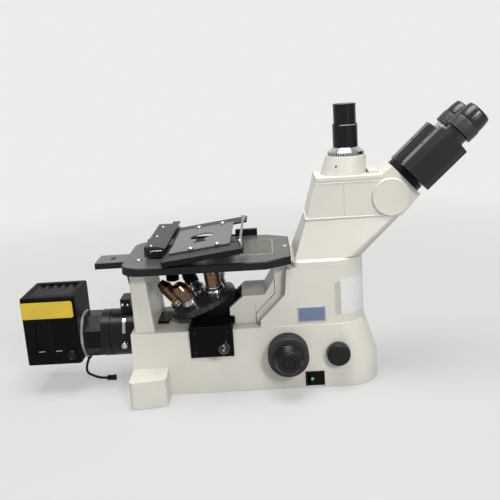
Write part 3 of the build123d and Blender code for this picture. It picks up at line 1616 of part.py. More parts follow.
vent_front_y = block_rear_y + vent_margin + fit_gap
vent_rear_y = lamp_rear_y - vent_margin - fit_gap
vent_pitch = (vent_rear_y - vent_front_y) / vent_teeth
vent_plate_z = lamp_top_z - lamp_wall - vent_plate
vent_points = [(vent_front_y, vent_plate_z - vent_plate)]
for tooth in range(vent_teeth):
    vent_points += [
        (vent_front_y + vent_pitch * tooth, vent_plate_z - vent_plate / 3),
        (vent_front_y + vent_pitch * (tooth + 1), vent_plate_z + vent_tooth_height),
    ]
vent_points += [(vent_rear_y, vent_plate_z - vent_plate)]
vent_core_half_width = vent_half_width - fit_gap
with BuildPart() as vent_cover:
    block(
        (-vent_half_width - vent_lap, vent_half_width + vent_lap),
        (vent_front_y - vent_lap, vent_rear_y + vent_lap),
        (vent_plate_z, vent_plate_z + vent_plate),
    )
    block(
        (-vent_core_half_width, vent_core_half_width),
        (vent_front_y, vent_rear_y),
        (vent_plate_z, vent_plate_z + vent_plate),
        mode=Mode.SUBTRACT,
    )
    side_profile(vent_points, vent_core_half_width)
finish(vent_cover, "vent_cover")

arc_floor_z = lamp_bottom_z + lamp_wall
arc_axis = Plane(origin=(0, block_rear_y + lamp_length * arc_y_share, arc_floor_z))
with BuildPart() as arc_lamp:
    turned(arc_axis, [
        (0, 0),
        (arc_base_r, 0),
        (arc_base_r, arc_base_height),
        (arc_neck_r, arc_base_height),
        (arc_bulb_r, light_z - arc_floor_z),
        (arc_neck_r, 2 * (light_z - arc_floor_z) - arc_base_height),
        (arc_tip_r, arc_height),
        (0, arc_height),
    ])
    turned(lamp_axis, [
        (0, lamp_rear_y - lamp_wall - reflector_thickness + reflector_dish),
        (reflector_r, lamp_rear_y - lamp_wall - reflector_thickness),
        (reflector_r, lamp_rear_y - lamp_wall),
        (0, lamp_rear_y - lamp_wall),
    ])
    turned(lamp_axis, [
        (0, block_rear_y + lamp_wall),
        (collector_r, block_rear_y + lamp_wall),
        (collector_r, block_rear_y + lamp_wall + collector_depth / 2),
        (0, block_rear_y + lamp_wall + collector_depth),
    ])
finish(arc_lamp, "arc_lamp")

with BuildPart() as lamp_knob:
    turned(along_x(lamp_knob_y, lamp_knob_z), [
        (0, -lamp_half_width - fit_gap - lamp_knob_length),
        (lamp_knob_r, -lamp_half_width - fit_gap - lamp_knob_length),
        (lamp_knob_r, -lamp_half_width - fit_gap),
        (lamp_knob_shaft_r, -lamp_half_width - fit_gap),
        (lamp_knob_shaft_r, -lamp_half_width + lamp_wall + fit_gap),
        (0, -lamp_half_width + lamp_wall + fit_gap),
    ])
finish(lamp_knob, "lamp_knob")

lead_radii = []
for before, corner, after in zip(lead_points, lead_points[1:], lead_points[2:]):
    run_in = Vector(*corner) - Vector(*before)
    run_out = Vector(*after) - Vector(*corner)
    half_turn = radians(run_in.get_angle(run_out)) / 2
    lead_radii.append(lead_bend_share * min(run_in.length, run_out.length) / tan(half_turn))
print("lead bend radii", [round(radius, 2) for radius in lead_radii])
with BuildPart() as lamp_cord:
    with BuildLine() as lead_line:
        FilletPolyline(*lead_points, radius=lead_radii)
    with BuildSketch(Plane(origin=lead_start, x_dir=(1, 0, 0), z_dir=lead_direction)):
        Circle(lead_r)
    sweep()
finish(lamp_cord, "lamp_cord")

connector_start = Vector(*lead_points[-1])
connector_pitch = connector_length / (2 * connector_ribs + 1)
connector_profile = [(0, 0)]
for step in range(2 * connector_ribs + 1):
    step_r = connector_r - connector_rib_depth * (step % 2)
    connector_profile += [(step_r, step * connector_pitch), (step_r, (step + 1) * connector_pitch)]
connector_profile += [(0, connector_length)]
with BuildPart() as cord_connector:
    turned(Plane(origin=connector_start, x_dir=(1, 0, 0), z_dir=(0, -1, 0)), connector_profile)
finish(cord_connector, "cord_connector")
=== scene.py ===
from math import atan2, cos, pi, radians, sin
import bpy
from mathutils import Matrix, Vector


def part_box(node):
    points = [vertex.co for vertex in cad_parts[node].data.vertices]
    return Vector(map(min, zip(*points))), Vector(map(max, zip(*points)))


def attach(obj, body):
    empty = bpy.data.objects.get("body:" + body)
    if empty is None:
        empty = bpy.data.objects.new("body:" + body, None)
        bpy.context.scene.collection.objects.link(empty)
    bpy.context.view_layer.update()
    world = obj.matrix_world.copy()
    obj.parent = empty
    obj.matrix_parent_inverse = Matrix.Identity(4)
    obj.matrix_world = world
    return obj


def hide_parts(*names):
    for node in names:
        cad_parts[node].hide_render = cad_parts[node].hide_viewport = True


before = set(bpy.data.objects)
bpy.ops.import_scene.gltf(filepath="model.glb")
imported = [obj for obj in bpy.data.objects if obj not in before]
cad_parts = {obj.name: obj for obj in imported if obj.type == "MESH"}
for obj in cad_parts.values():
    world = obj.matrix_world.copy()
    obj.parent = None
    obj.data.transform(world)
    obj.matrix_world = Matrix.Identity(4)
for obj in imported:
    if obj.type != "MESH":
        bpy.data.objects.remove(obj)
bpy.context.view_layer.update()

# Camera: it stands on the side with the brightness knob and looks slightly down at the instrument,
# with the photograph's framing and its small roll.
camera_data = bpy.data.cameras.new("camera")
camera_data.sensor_width = 36
camera_data.lens = 51.48
camera = bpy.data.objects.new("camera", camera_data)
camera.matrix_world = Matrix((
    (0.01734, 0.24344, -0.96976, -1.05833),
    (-0.99779, -0.05812, -0.03243, -0.09878),
    (-0.06425, 0.96818, 0.24190, 0.46544),
    (0, 0, 0, 1),
))
bpy.context.collection.objects.link(camera)
bpy.context.scene.camera = camera
bpy.context.scene.view_settings.view_transform = "Standard"

# Lamp lead: a thin limp rubber wire that hangs from the gland under the lamp adapter,
# swings forward and lies down with its small ribbed connector on the bench.
mm = 0.001
lead_points = [
    (0.0, 203.8, 39.7),
    (0.0, 214.5, 17.5),
    (0.0, 196.0, 7.2),
    (0.0, 185.5, 4.6),
    (0.0, 178.0, 4.6),
]
lead_curve = bpy.data.curves.new("lamp_lead", "CURVE")
lead_curve.dimensions = "3D"
lead_curve.bevel_depth = 2.0 * mm
lead_curve.bevel_resolution = 6
lead_curve.resolution_u = 16
lead_curve.use_fill_caps = True
lead_spline = lead_curve.splines.new("NURBS")
lead_spline.points.add(len(lead_points) - 1)
for point, place in zip(lead_spline.points, lead_points):
    point.co = (place[0] * mm, place[1] * mm, place[2] * mm, 1)
lead_spline.order_u = 3
lead_spline.use_endpoint_u = True
lamp_lead = bpy.data.objects.new("lamp_lead", lead_curve)
bpy.context.collection.objects.link(lamp_lead)


def node_material(name, color, roughness, metallic=0.0):
    """A material with its shader ready, whose constants sit on the shader's own sockets."""
    material = bpy.data.materials.new(name)
    material.use_nodes = True
    shader = material.node_tree.nodes["Principled BSDF"]
    shader.inputs["Base Color"].default_value = (*color, 1)
    shader.inputs["Roughness"].default_value = roughness
    shader.inputs["Metallic"].default_value = metallic
    return material, shader


def effect_group(name, inputs, outputs):
    """An empty node group with named sockets, for an effect that several finishes share."""
    group = bpy.data.node_groups.new(name, "ShaderNodeTree")
    for label, kind, value in inputs:
        socket = group.interface.new_socket(label, in_out="INPUT", socket_type=kind)
        socket.default_value = value
    for label, kind in outputs:
        group.interface.new_socket(label, in_out="OUTPUT", socket_type=kind)
    return group, group.nodes.new("NodeGroupInput"), group.nodes.new("NodeGroupOutput")


# Every finish here is mottled a little by handling and dust: one group shifts a colour and a roughness
# by slow noise, and gives the fine grain whose height a bump reads.
surface_group, surface_in, surface_out = effect_group(
    "handled_surface",
    [
        ("Color", "NodeSocketColor", (0.5, 0.5, 0.5, 1)),
        ("Dust Color", "NodeSocketColor", (0.5, 0.5, 0.5, 1)),
        ("Dust", "NodeSocketFloat", 0.1),
        ("Roughness", "NodeSocketFloat", 0.4),
        ("Smudge", "NodeSocketFloat", 0.1),
        ("Grain Scale", "NodeSocketFloat", 900.0),
    ],
    [("Color", "NodeSocketColor"), ("Roughness", "NodeSocketFloat"), ("Height", "NodeSocketFloat")],
)


def added_node(tree, kind, **values):
    """A new shader node, with values on its sockets: from_min stands for the socket From Min."""
    node = tree.nodes.new("ShaderNode" + kind)
    for label, value in values.items():
        node.inputs[label.replace("_", " ").title()].default_value = value
    return node


def worked_out(tree, operation, *feeds):
    """The result of a math node that is fed by sockets or by plain numbers."""
    node = added_node(tree, "Math")
    node.operation = operation
    for socket, feed in zip(node.inputs, feeds):
        if isinstance(feed, float):
            socket.default_value = feed
        else:
            tree.links.new(feed, socket)
    return node.outputs["Value"]


group_links = surface_group.links
coordinates = added_node(surface_group, "TexCoord")
patches = added_node(surface_group, "TexNoise", scale=22.0, detail=4.0)
smudges = added_node(surface_group, "TexNoise", scale=65.0, detail=3.0)
grain = added_node(surface_group, "TexNoise", detail=2.0)
for noise in (patches, smudges, grain):
    group_links.new(coordinates.outputs["Object"], noise.inputs["Vector"])
group_links.new(surface_in.outputs["Grain Scale"], grain.inputs["Scale"])
patch_mask = added_node(surface_group, "MapRange", from_min=0.45, from_max=0.75)
group_links.new(patches.outputs["Fac"], patch_mask.inputs["Value"])
dust_amount = worked_out(surface_group, "MULTIPLY", patch_mask.outputs["Result"], surface_in.outputs["Dust"])
dust_mix = added_node(surface_group, "Mix")
dust_mix.data_type = "RGBA"
group_links.new(dust_amount, dust_mix.inputs["Factor"])
group_links.new(surface_in.outputs["Color"], dust_mix.inputs["A"])
group_links.new(surface_in.outputs["Dust Color"], dust_mix.inputs["B"])
group_links.new(dust_mix.outputs["Result"], surface_out.inputs["Color"])
smudge_shift = worked_out(surface_group, "SUBTRACT", smudges.outputs["Fac"], 0.5)
smudge_amount = worked_out(surface_group, "MULTIPLY_ADD", smudge_shift, surface_in.outputs["Smudge"],
                           surface_in.outputs["Roughness"])
group_links.new(smudge_amount, surface_out.inputs["Roughness"])
group_links.new(grain.outputs["Fac"], surface_out.inputs["Height"])
dust_grey = (0.022, 0.021, 0.020)


def finish_material(name, color, roughness, grain_scale, grain_depth, dust_color=dust_grey, dust=0.1, smudge=0.1,
                    metallic=0.0, coat=0.0, specular=0.5):
    """A finish with slow mottling, smudges in its gloss and a fine grain."""
    material, shader = node_material(name, color, roughness, metallic)
    tree = material.node_tree
    surface = added_node(tree, "Group")
    surface.node_tree = surface_group
    for label, value in (("Color", (*color, 1)), ("Dust Color", (*dust_color, 1)), ("Dust", dust),
                         ("Roughness", roughness), ("Smudge", smudge), ("Grain Scale", grain_scale)):
        surface.inputs[label].default_value = value
    bump = added_node(tree, "Bump", strength=0.35, distance=grain_depth)
    tree.links.new(surface.outputs["Color"], shader.inputs["Base Color"])
    tree.links.new(surface.outputs["Roughness"], shader.inputs["Roughness"])
    tree.links.new(surface.outputs["Height"], bump.inputs["Height"])
    tree.links.new(bump.outputs["Normal"], shader.inputs["Normal"])
    shader.inputs["Coat Weight"].default_value = coat
    shader.inputs["Specular IOR Level"].default_value = specular
    shader.inputs["Coat Roughness"].default_value = 0.25
    return material


lead_rubber = finish_material("lead_rubber", (0.006, 0.006, 0.006), 0.5, 1400, 0.00005, dust=0.12, smudge=0.15,
                              specular=0.15)
lead_curve.materials.append(lead_rubber)
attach(lamp_lead, "frame")
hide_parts("lamp_cord")

# Lead connector: a short moulded rubber body with ribs to grip and a wider plain collar at its mouth,
# moulded on the end of the wire.


def only_active(piece):
    """Deselect everything and make one piece active."""
    bpy.ops.object.select_all(action="DESELECT")
    piece.select_set(True)
    bpy.context.view_layer.objects.active = piece


def finished(piece, body, material, smooth_angle=40):
    """Put a made piece's place into its mesh, give it its finish and let it ride on its body."""
    only_active(piece)
    bpy.ops.object.transform_apply(location=True, rotation=True, scale=True)
    piece.data.materials.clear()
    piece.data.materials.append(material)
    bpy.ops.object.shade_smooth_by_angle(angle=radians(smooth_angle))
    flat_faces = piece.modifiers.new("flat_faces", "WEIGHTED_NORMAL")
    flat_faces.keep_sharp = True
    bpy.ops.object.modifier_apply(modifier=flat_faces.name)
    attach(piece, body)


def grown(name, profile, sides=64):
    """A round part on the Z axis, grown from a disc: each step of its profile, a radius and a height in
    millimetres, extrudes the last face and scales it."""
    bpy.ops.object.select_all(action="DESELECT")
    radius, height = profile[0]
    bpy.ops.mesh.primitive_circle_add(vertices=sides, radius=radius * mm, fill_type="NGON",
                                      location=(0, 0, height * mm))
    piece = bpy.context.active_object
    piece.name = name
    bpy.ops.object.mode_set(mode="EDIT")
    bpy.ops.mesh.select_all(action="SELECT")
    for next_radius, next_height in profile[1:]:
        bpy.ops.mesh.extrude_region_move(TRANSFORM_OT_translate={"value": (0, 0, (next_height - height) * mm)})
        share = next_radius / radius
        bpy.ops.transform.resize(value=(share, share, 1), center_override=(0, 0, next_height * mm))
        radius, height = next_radius, next_height
    bpy.ops.mesh.select_all(action="SELECT")
    bpy.ops.mesh.normals_make_consistent(inside=False)
    bpy.ops.object.mode_set(mode="OBJECT")
    bpy.ops.object.transform_apply(location=True, rotation=True, scale=True)
    return piece


def stood(piece, place, way):
    """Stand a part that was grown along Z at a place in millimetres, so that it points one way."""
    turn = Vector(way).to_track_quat("Z", "Y").to_matrix().to_4x4()
    piece.matrix_world = Matrix.Translation(Vector(place) * mm) @ turn
    return piece


near_way, far_way, up_way = (-1, 0, 0), (1, 0, 0), (0, 0, 1)
front_way, rear_way = (0, -1, 0), (0, 1, 0)
connector = grown("lead_connector", [
    (2.2, -1), (3.2, 0), (4.4, 0.6), (4.4, 2), (3.5, 2.3), (3.5, 3.4), (4.4, 3.7), (4.4, 5.2), (3.5, 5.5),
    (3.5, 6.6), (4.4, 6.9), (4.4, 8.4), (3.5, 8.7), (3.5, 9.8), (4.6, 10.1), (4.6, 13.4), (4.1, 14), (3.3, 14),
    (3.3, 12.5),
], 32)
finished(stood(connector, lead_points[-1], front_way), "frame", lead_rubber)
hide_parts("cord_connector")

# Base: one aluminium casting, sprayed with a cream textured paint, with a foot on each side at the rear.
# The ridge round it and every outer edge are well rounded by the mould.
cream_paint = finish_material("cream_paint", (0.60, 0.575, 0.515), 0.42, 1500, 0.00008, (0.53, 0.505, 0.445), 0.2,
                              0.12, coat=0.12)


def apply_bevel(piece, width, segments):
    """Round a piece's sharp edges by a width in millimetres."""
    only_active(piece)
    rounding = piece.modifiers.new("rounding", "BEVEL")
    rounding.width = width * mm
    rounding.segments = segments
    rounding.limit_method = "ANGLE"
    rounding.angle_limit = radians(35)
    bpy.ops.object.modifier_apply(modifier=rounding.name)


def softened(node, body, material, width, segments=3):
    """A copy of a CAD solid whose edges are rounded as a casting's or a turned part's are."""
    piece = bpy.data.objects.new(node + "_skin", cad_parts[node].data.copy())
    bpy.context.collection.objects.link(piece)
    only_active(piece)
    bpy.ops.object.mode_set(mode="EDIT")
    bpy.ops.mesh.select_all(action="SELECT")
    bpy.ops.mesh.remove_doubles(threshold=0.002 * mm)
    bpy.ops.mesh.dissolve_limited(angle_limit=radians(0.4))
    bpy.ops.object.mode_set(mode="OBJECT")
    apply_bevel(piece, width, segments)
    finished(piece, body, material)
    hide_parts(node)
    return piece


softened("base_casting", "frame", cream_paint, 2.4)

# Underside and insides of the base: a steel floor plate, rubber feet, the electrics, the folded light
# path and the focus guide, all screwed to the casting.
black_plastic = finish_material("black_plastic", (0.0035, 0.0035, 0.0035), 0.36, 1500, 0.00005, smudge=0.12,
                                specular=0.1)
steel = finish_material("steel", (0.60, 0.60, 0.61), 0.24, 2000, 0.00002, (0.35, 0.34, 0.33), 0.2, 0.15,
                        metallic=1.0)


def repainted(nodes, material):
    """Give CAD solids that stay in view, or inside, a finish."""
    for node in nodes:
        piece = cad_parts[node]
        piece.data.materials.clear()
        piece.data.materials.append(material)


repainted(("rubber_feet", "power_supply", "base_optics", "focus_guide"), black_plastic)
repainted(("base_plate", "focus_rack", "turret_pivot", "arc_lamp"), steel)

# Light path cover: a flat black plate with rounded edges, moulded in plastic and screwed on the base
# under the nosepiece.
base_top_z = 99


def slab(name, low, high, rounding=0.0, segments=3):
    """A plate or bar between two corners in millimetres, made from a cube, with its edges rounded."""
    bpy.ops.object.select_all(action="DESELECT")
    middle = [(a + b) / 2 * mm for a, b in zip(low, high)]
    bpy.ops.mesh.primitive_cube_add(size=1, location=middle)
    piece = bpy.context.active_object
    piece.name = name
    bpy.ops.object.mode_set(mode="EDIT")
    bpy.ops.mesh.select_all(action="SELECT")
    bpy.ops.transform.resize(value=[(b - a) * mm for a, b in zip(low, high)], center_override=middle)
    bpy.ops.object.mode_set(mode="OBJECT")
    bpy.ops.object.transform_apply(location=True, rotation=True, scale=True)
    if rounding:
        apply_bevel(piece, rounding, segments)
    return piece


light_cover = slab("light_path_cover", (-23, 67, base_top_z - 0.5), (25, 86, base_top_z + 3.5), 1.0)
finished(light_cover, "frame", black_plastic)

# Power switch: a black rocker in a black frame that clips into the casting. A small round green lens
# over a neon lamp is let into the rocker.
repainted(("switch_bezel", "power_rocker"), black_plastic)
green_lens = finish_material("green_lens", (0.03, 0.42, 0.10), 0.2, 900, 0.00002, dust=0.05, coat=0.6)


def box_mm(node):
    """The low and the high corner of a CAD solid, in millimetres."""
    return [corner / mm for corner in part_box(node)]


rocker_face_x = box_mm("power_rocker")[0].x
lens_cap = grown("green_lamp", [(2.9, -2), (2.9, 0), (2.4, 0.6), (1.4, 0.95), (0.6, 1.05)], 40)
finished(stood(lens_cap, (rocker_face_x + 1.3, -145.6, 15.6), near_way), "rocker", green_lens, 60)

# Rear pillar and the tongue behind the stage: painted castings. The tongue is the bare foot of an
# overhead illuminator, black at its sides, with a grey top and a slot for the screw.
softened("rear_pillar", "frame", cream_paint, 1.2)
mount_grey = finish_material("mount_grey", (0.09, 0.087, 0.077), 0.45, 1500, 0.00006, (0.1, 0.095, 0.085), 0.25,
                             0.12)
black_paint = finish_material("black_paint", (0.0035, 0.0035, 0.004), 0.5, 1100, 0.0001, smudge=0.14, specular=0.06)
stage_paint = finish_material("stage_paint", (0.008, 0.008, 0.009), 0.38, 1100, 0.0001, dust=0.2, smudge=0.14,
                              specular=0.2)
softened("illuminator_mount", "frame", stage_paint, 0.8)
mount_low, mount_high = box_mm("illuminator_mount")
mount_top = slab("mount_top", (mount_low.x + 1.5, mount_low.y + 10.5, mount_high.z - 0.6),
                 (mount_high.x - 1.5, mount_high.y - 1.5, mount_high.z + 0.5), 0.4)
finished(mount_top, "frame", mount_grey)
mount_slot = slab("mount_slot", (-7, 143.5, mount_high.z + 0.3), (7, 150.5, mount_high.z + 0.7), 3.2, 5)
finished(mount_slot, "frame", black_plastic)

# Front tower: a cream casting on the base that carries the head, with a cap plate and the arm that the
# focus drive hides in. The badge is a bare plate and the paper label is blank.
softened("front_tower", "frame", cream_paint, 2.0)
softened("tower_cap", "frame", cream_paint, 0.5)
badge_silver = finish_material("badge_silver", (0.42, 0.43, 0.44), 0.3, 1800, 0.00002, (0.3, 0.3, 0.3), 0.15, 0.1,
                               metallic=0.4)
badge_rim = slab("badge_rim", (-61.1, -170.4, 102.6), (-59.6, -129.2, 126.0), 0.4)
finished(badge_rim, "frame", badge_silver)
badge_blue = finish_material("badge_blue", (0.13, 0.17, 0.27), 0.35, 1200, 0.00003, (0.2, 0.22, 0.26), 0.2, 0.1)
badge_face = slab("badge_face", (-61.35, -168.6, 104.4), (-60.4, -131.0, 124.2), 0.2)
finished(badge_face, "frame", badge_blue)


def pick(piece, kind, wanted):
    """Select only the wanted faces or edges of a piece and stay in edit mode."""
    only_active(piece)
    bpy.ops.object.mode_set(mode="EDIT")
    bpy.ops.mesh.select_mode(type=kind)
    bpy.ops.mesh.select_all(action="DESELECT")
    bpy.ops.object.mode_set(mode="OBJECT")
    for element in piece.data.polygons if kind == "FACE" else piece.data.edges:
        element.select = wanted(element)
    bpy.ops.object.mode_set(mode="EDIT")


def curved_plate(name, radius, start, end, low, high, thickness):
    """A thin plate round the Z axis between two angles: the wall of a cylinder, cut down and thickened."""
    bpy.ops.object.select_all(action="DESELECT")
    bpy.ops.mesh.primitive_cylinder_add(vertices=128, radius=radius * mm, depth=(high - low) * mm,
                                        end_fill_type="NOTHING", location=(0, 0, (low + high) / 2 * mm))
    piece = bpy.context.active_object
    piece.name = name
    bpy.ops.object.transform_apply(location=True, rotation=True, scale=True)
    pick(piece, "FACE",
         lambda face: not radians(start) < atan2(face.center.y, face.center.x) % (2 * pi) < radians(end))
    bpy.ops.mesh.delete(type="FACE")
    bpy.ops.object.mode_set(mode="OBJECT")
    skin = piece.modifiers.new("thickness", "SOLIDIFY")
    skin.thickness = thickness * mm
    skin.offset = 1
    only_active(piece)
    bpy.ops.object.modifier_apply(modifier=skin.name)
    return piece


label_white = finish_material("label_white", (0.66, 0.66, 0.65), 0.5, 900, 0.00003, (0.5, 0.48, 0.45), 0.15, 0.1)
paper_label = curved_plate("paper_label", 44.05, 188, 252, 111, 166, 0.25)
tower_corner_x, tower_corner_y = -16, -187
paper_label.location = (tower_corner_x * mm, tower_corner_y * mm, 0)
finished(paper_label, "frame", label_white)
label_backing = finish_material("label_backing", (0.47, 0.44, 0.39), 0.5, 900, 0.00002, (0.3, 0.28, 0.25), 0.2, 0.1)
label_band = slab("label_band", (-60.35, -193.4, 112), (-59.7, -184.8, 161), 0.1, 1)
finished(label_band, "frame", label_backing)

# Arm cover: a thin cream moulding that hooks over the nosepiece arm, in two halves that meet in a fine
# dark seam on each side.
softened("arm_cover", "frame", cream_paint, 1.4)
seam_dark = finish_material("seam_dark", (0.16, 0.14, 0.115), 0.6, 900, 0.00002, (0.2, 0.18, 0.15), 0.2, 0.1)


def seam_pair(name, half_width, low, high, depth, rounding):
    """A fine dark line on the near side and one on the far side, between two places along Y and Z."""
    for side_name, seam_x in (("near", -half_width), ("far", half_width)):
        seam = slab(name + side_name, (seam_x - depth, *low), (seam_x + depth, *high), rounding, 1)
        finished(seam, "frame", seam_dark)


seam_pair("cover_seam_", 40.0, (-67.6, 98), (-67.2, 127), 0.12, 0.05)

# Focus knobs: the coarse knob is a wide black one with a ribbed rubber band, the fine one in front of it
# has turned rings and a dimple. The same pair sits on the far side.
fine_face = [
    (1.6, 116), (2, 117), (6.6, 117), (7.2, 116), (8.6, 116), (9.2, 117), (13.6, 117), (14.2, 115.8), (15.4, 115.8),
    (16.6, 115), (21.2, 105.5), (22, 104.5), (22, 98.35), (2.25, 98.35),
]


def fluted(piece, low, high, thickness, depth, sides=64, step=1):
    """Cut flutes into a round band: its side faces between two heights, each or every so many, are inset
    one by one and pushed in."""
    def on_band(face):
        turn = atan2(face.center.y, face.center.x) / (2 * pi) % 1
        return (low * mm < face.center.z < high * mm and abs(face.normal.z) < 0.3
                and int(turn * sides) % step == 0 and face.area > (mm / 2) ** 2)
    pick(piece, "FACE", on_band)
    bpy.ops.mesh.inset(thickness=thickness * mm, depth=-depth * mm, use_individual=True)
    bpy.ops.object.mode_set(mode="OBJECT")


fine_knob = grown("fine_knobs_turned", [(radius, -height) for radius, height in fine_face] + fine_face[::-1], 72)
for band_low, band_high in ((-104.4, -98.5), (98.5, 104.4)):
    fluted(fine_knob, band_low, band_high, 0.25, 0.35, 72)
focus_place = (0, -112, 62)
stood(fine_knob, focus_place, far_way)
satin_black = finish_material("satin_black", (0.006, 0.006, 0.0065), 0.26, 1600, 0.00003, dust=0.08, specular=0.2)
knob_black = finish_material("knob_black", (0.006, 0.006, 0.0065), 0.34, 1500, 0.00004, dust=0.12, smudge=0.12,
                             specular=0.25)
finished(fine_knob, "fine", knob_black, 30)
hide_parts("fine_knobs")
repainted(("coarse_knobs",), knob_black)
grip_rubber = finish_material("grip_rubber", (0.014, 0.014, 0.014), 0.55, 1200, 0.00005, (0.04, 0.038, 0.035), 0.3,
                              0.15, specular=0.4)


def twin(piece, name):
    """A copy of a part with a mesh of its own."""
    copy = piece.copy()
    copy.data = piece.data.copy()
    copy.name = name
    bpy.context.collection.objects.link(copy)
    return copy


grip = grown("coarse_grip_near", [
    (26.5, 98.15), (28.6, 98.15), (29.5, 97.2), (29.5, 95.4), (29.9, 95), (29.9, 74), (29.5, 73.6), (29.5, 70.8),
    (28.6, 69.85), (22, 69.85),
], 108)
fluted(grip, 74, 95, 0.3, 0.5, 108)
far_grip = twin(grip, "coarse_grip_far")
finished(stood(grip, focus_place, near_way), "coarse", grip_rubber, 25)
finished(stood(far_grip, focus_place, far_way), "coarse", grip_rubber, 25)

# Brightness knob: a smooth black plastic moulding with a domed face and rounded edges, pushed on the
# potentiometer's shaft.
knob_depth = 13
knob_back_x = box_mm("brightness_knob")[0].x + knob_depth
dimmer_knob = grown("brightness_knob_turned", [
    (3, -12), (3, 0), (17, 0), (17.7, 0.8), (17.7, 2.2), (17, 10.4), (16.2, 12.2), (14.2, 13.1), (9, 13.5),
    (4, 13.7),
], 72)
finished(stood(dimmer_knob, (knob_back_x, -186, 55), near_way), "dimmer", knob_black, 50)
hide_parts("brightness_knob")

# Nosepiece: a turned black disc with a grey cone on top and a grip rim with wide ribs. It turns on a stud
# of the carriage, which rides up and down with the focus.
black_anodised = finish_material("black_anodised", (0.005, 0.005, 0.006), 0.34, 1800, 0.00004, dust=0.12,
                                 smudge=0.15, specular=0.14)
softened("focus_carriage", "carriage", black_anodised, 0.8)
disc_sides = 90
disc = grown("nosepiece_rim", [
    (9, -17.4), (50.6, -17.4), (52.6, -15.6), (52.6, -8.2), (51.6, -6.7), (48.2, -6.1),
], disc_sides)
fluted(disc, -15.5, -8.3, 0.4, 1.3, disc_sides, 3)
turret_place = (0, 18, 135.5)
turret_tilt = radians(21)
turret_way = Vector((0, sin(turret_tilt), cos(turret_tilt)))
rim_black = finish_material("rim_black", (0.010, 0.010, 0.010), 0.3, 1500, 0.00003, dust=0.15, smudge=0.12)
finished(stood(disc, turret_place, turret_way), "turret", rim_black, 30)
grey_anodised = finish_material("grey_anodised", (0.055, 0.056, 0.058), 0.38, 1800, 0.00004, (0.12, 0.115, 0.11),
                                0.25, 0.15, metallic=0.6)
softened("turret_disc", "turret", grey_anodised, 0.3, 2)

# Objectives: five bronze, black or white barrels with a bright or yellow band at the foot of each,
# screwed into the nosepiece by a knurled chrome collar whose grooves are painted dark as shade. The fronts
# are glass.
bronze = finish_material("bronze", (0.20, 0.125, 0.08), 0.27, 2000, 0.00002, (0.07, 0.055, 0.04), 0.35, 0.14,
                         metallic=1.0)
yellow_ring = finish_material("yellow_ring", (0.75, 0.5, 0.03), 0.35, 900, 0.00002, dust=0.05)
lens_glass, lens_shader = node_material("lens_glass", (0.01, 0.012, 0.016), 0.06)
lens_shader.inputs["Coat Weight"].default_value = 1.0
satin_chrome = finish_material("satin_chrome", (0.55, 0.55, 0.56), 0.17, 2200, 0.00001, (0.3, 0.3, 0.3), 0.12, 0.1,
                               metallic=1.0)
# A dark finish for the floors of flutes cut in chrome: painted shade in the grooves.
groove_painted_shade = finish_material("groove_painted_shade", (0.03, 0.03, 0.03), 0.4, 1500, 0.00002, metallic=0.5)
white_shell = finish_material("white_shell", (0.55, 0.55, 0.53), 0.35, 1500, 0.00003, (0.4, 0.38, 0.36), 0.15, 0.1)
seat_park = radians(38)
seat_r = 33
widest_collar_r = 15.6
collar_r_shares = (1.0, 0.82, 1.0, 0.94, 0.9)
barrel_radii = (12.0, 12.6, 10.4, 11.4, 14.0)
barrel_heights = (35.0, 34.0, 36.0, 31.0, 30.0)
nose_radii = (7.5, 8.0, 6.0, 9.0, 12.4)
nose_heights = (44.0, 41.0, 46.0, 38.0, 34.0)
barrel_finishes = (bronze, bronze, bronze, satin_black, white_shell)
collar_sides = 44


def second_finish(piece, material, wanted=lambda face: face.select):
    """Give some faces of a piece a second finish, or the flutes that were cut last, still selected."""
    piece.data.materials.append(material)
    for face in piece.data.polygons:
        if wanted(face):
            face.material_index = 1


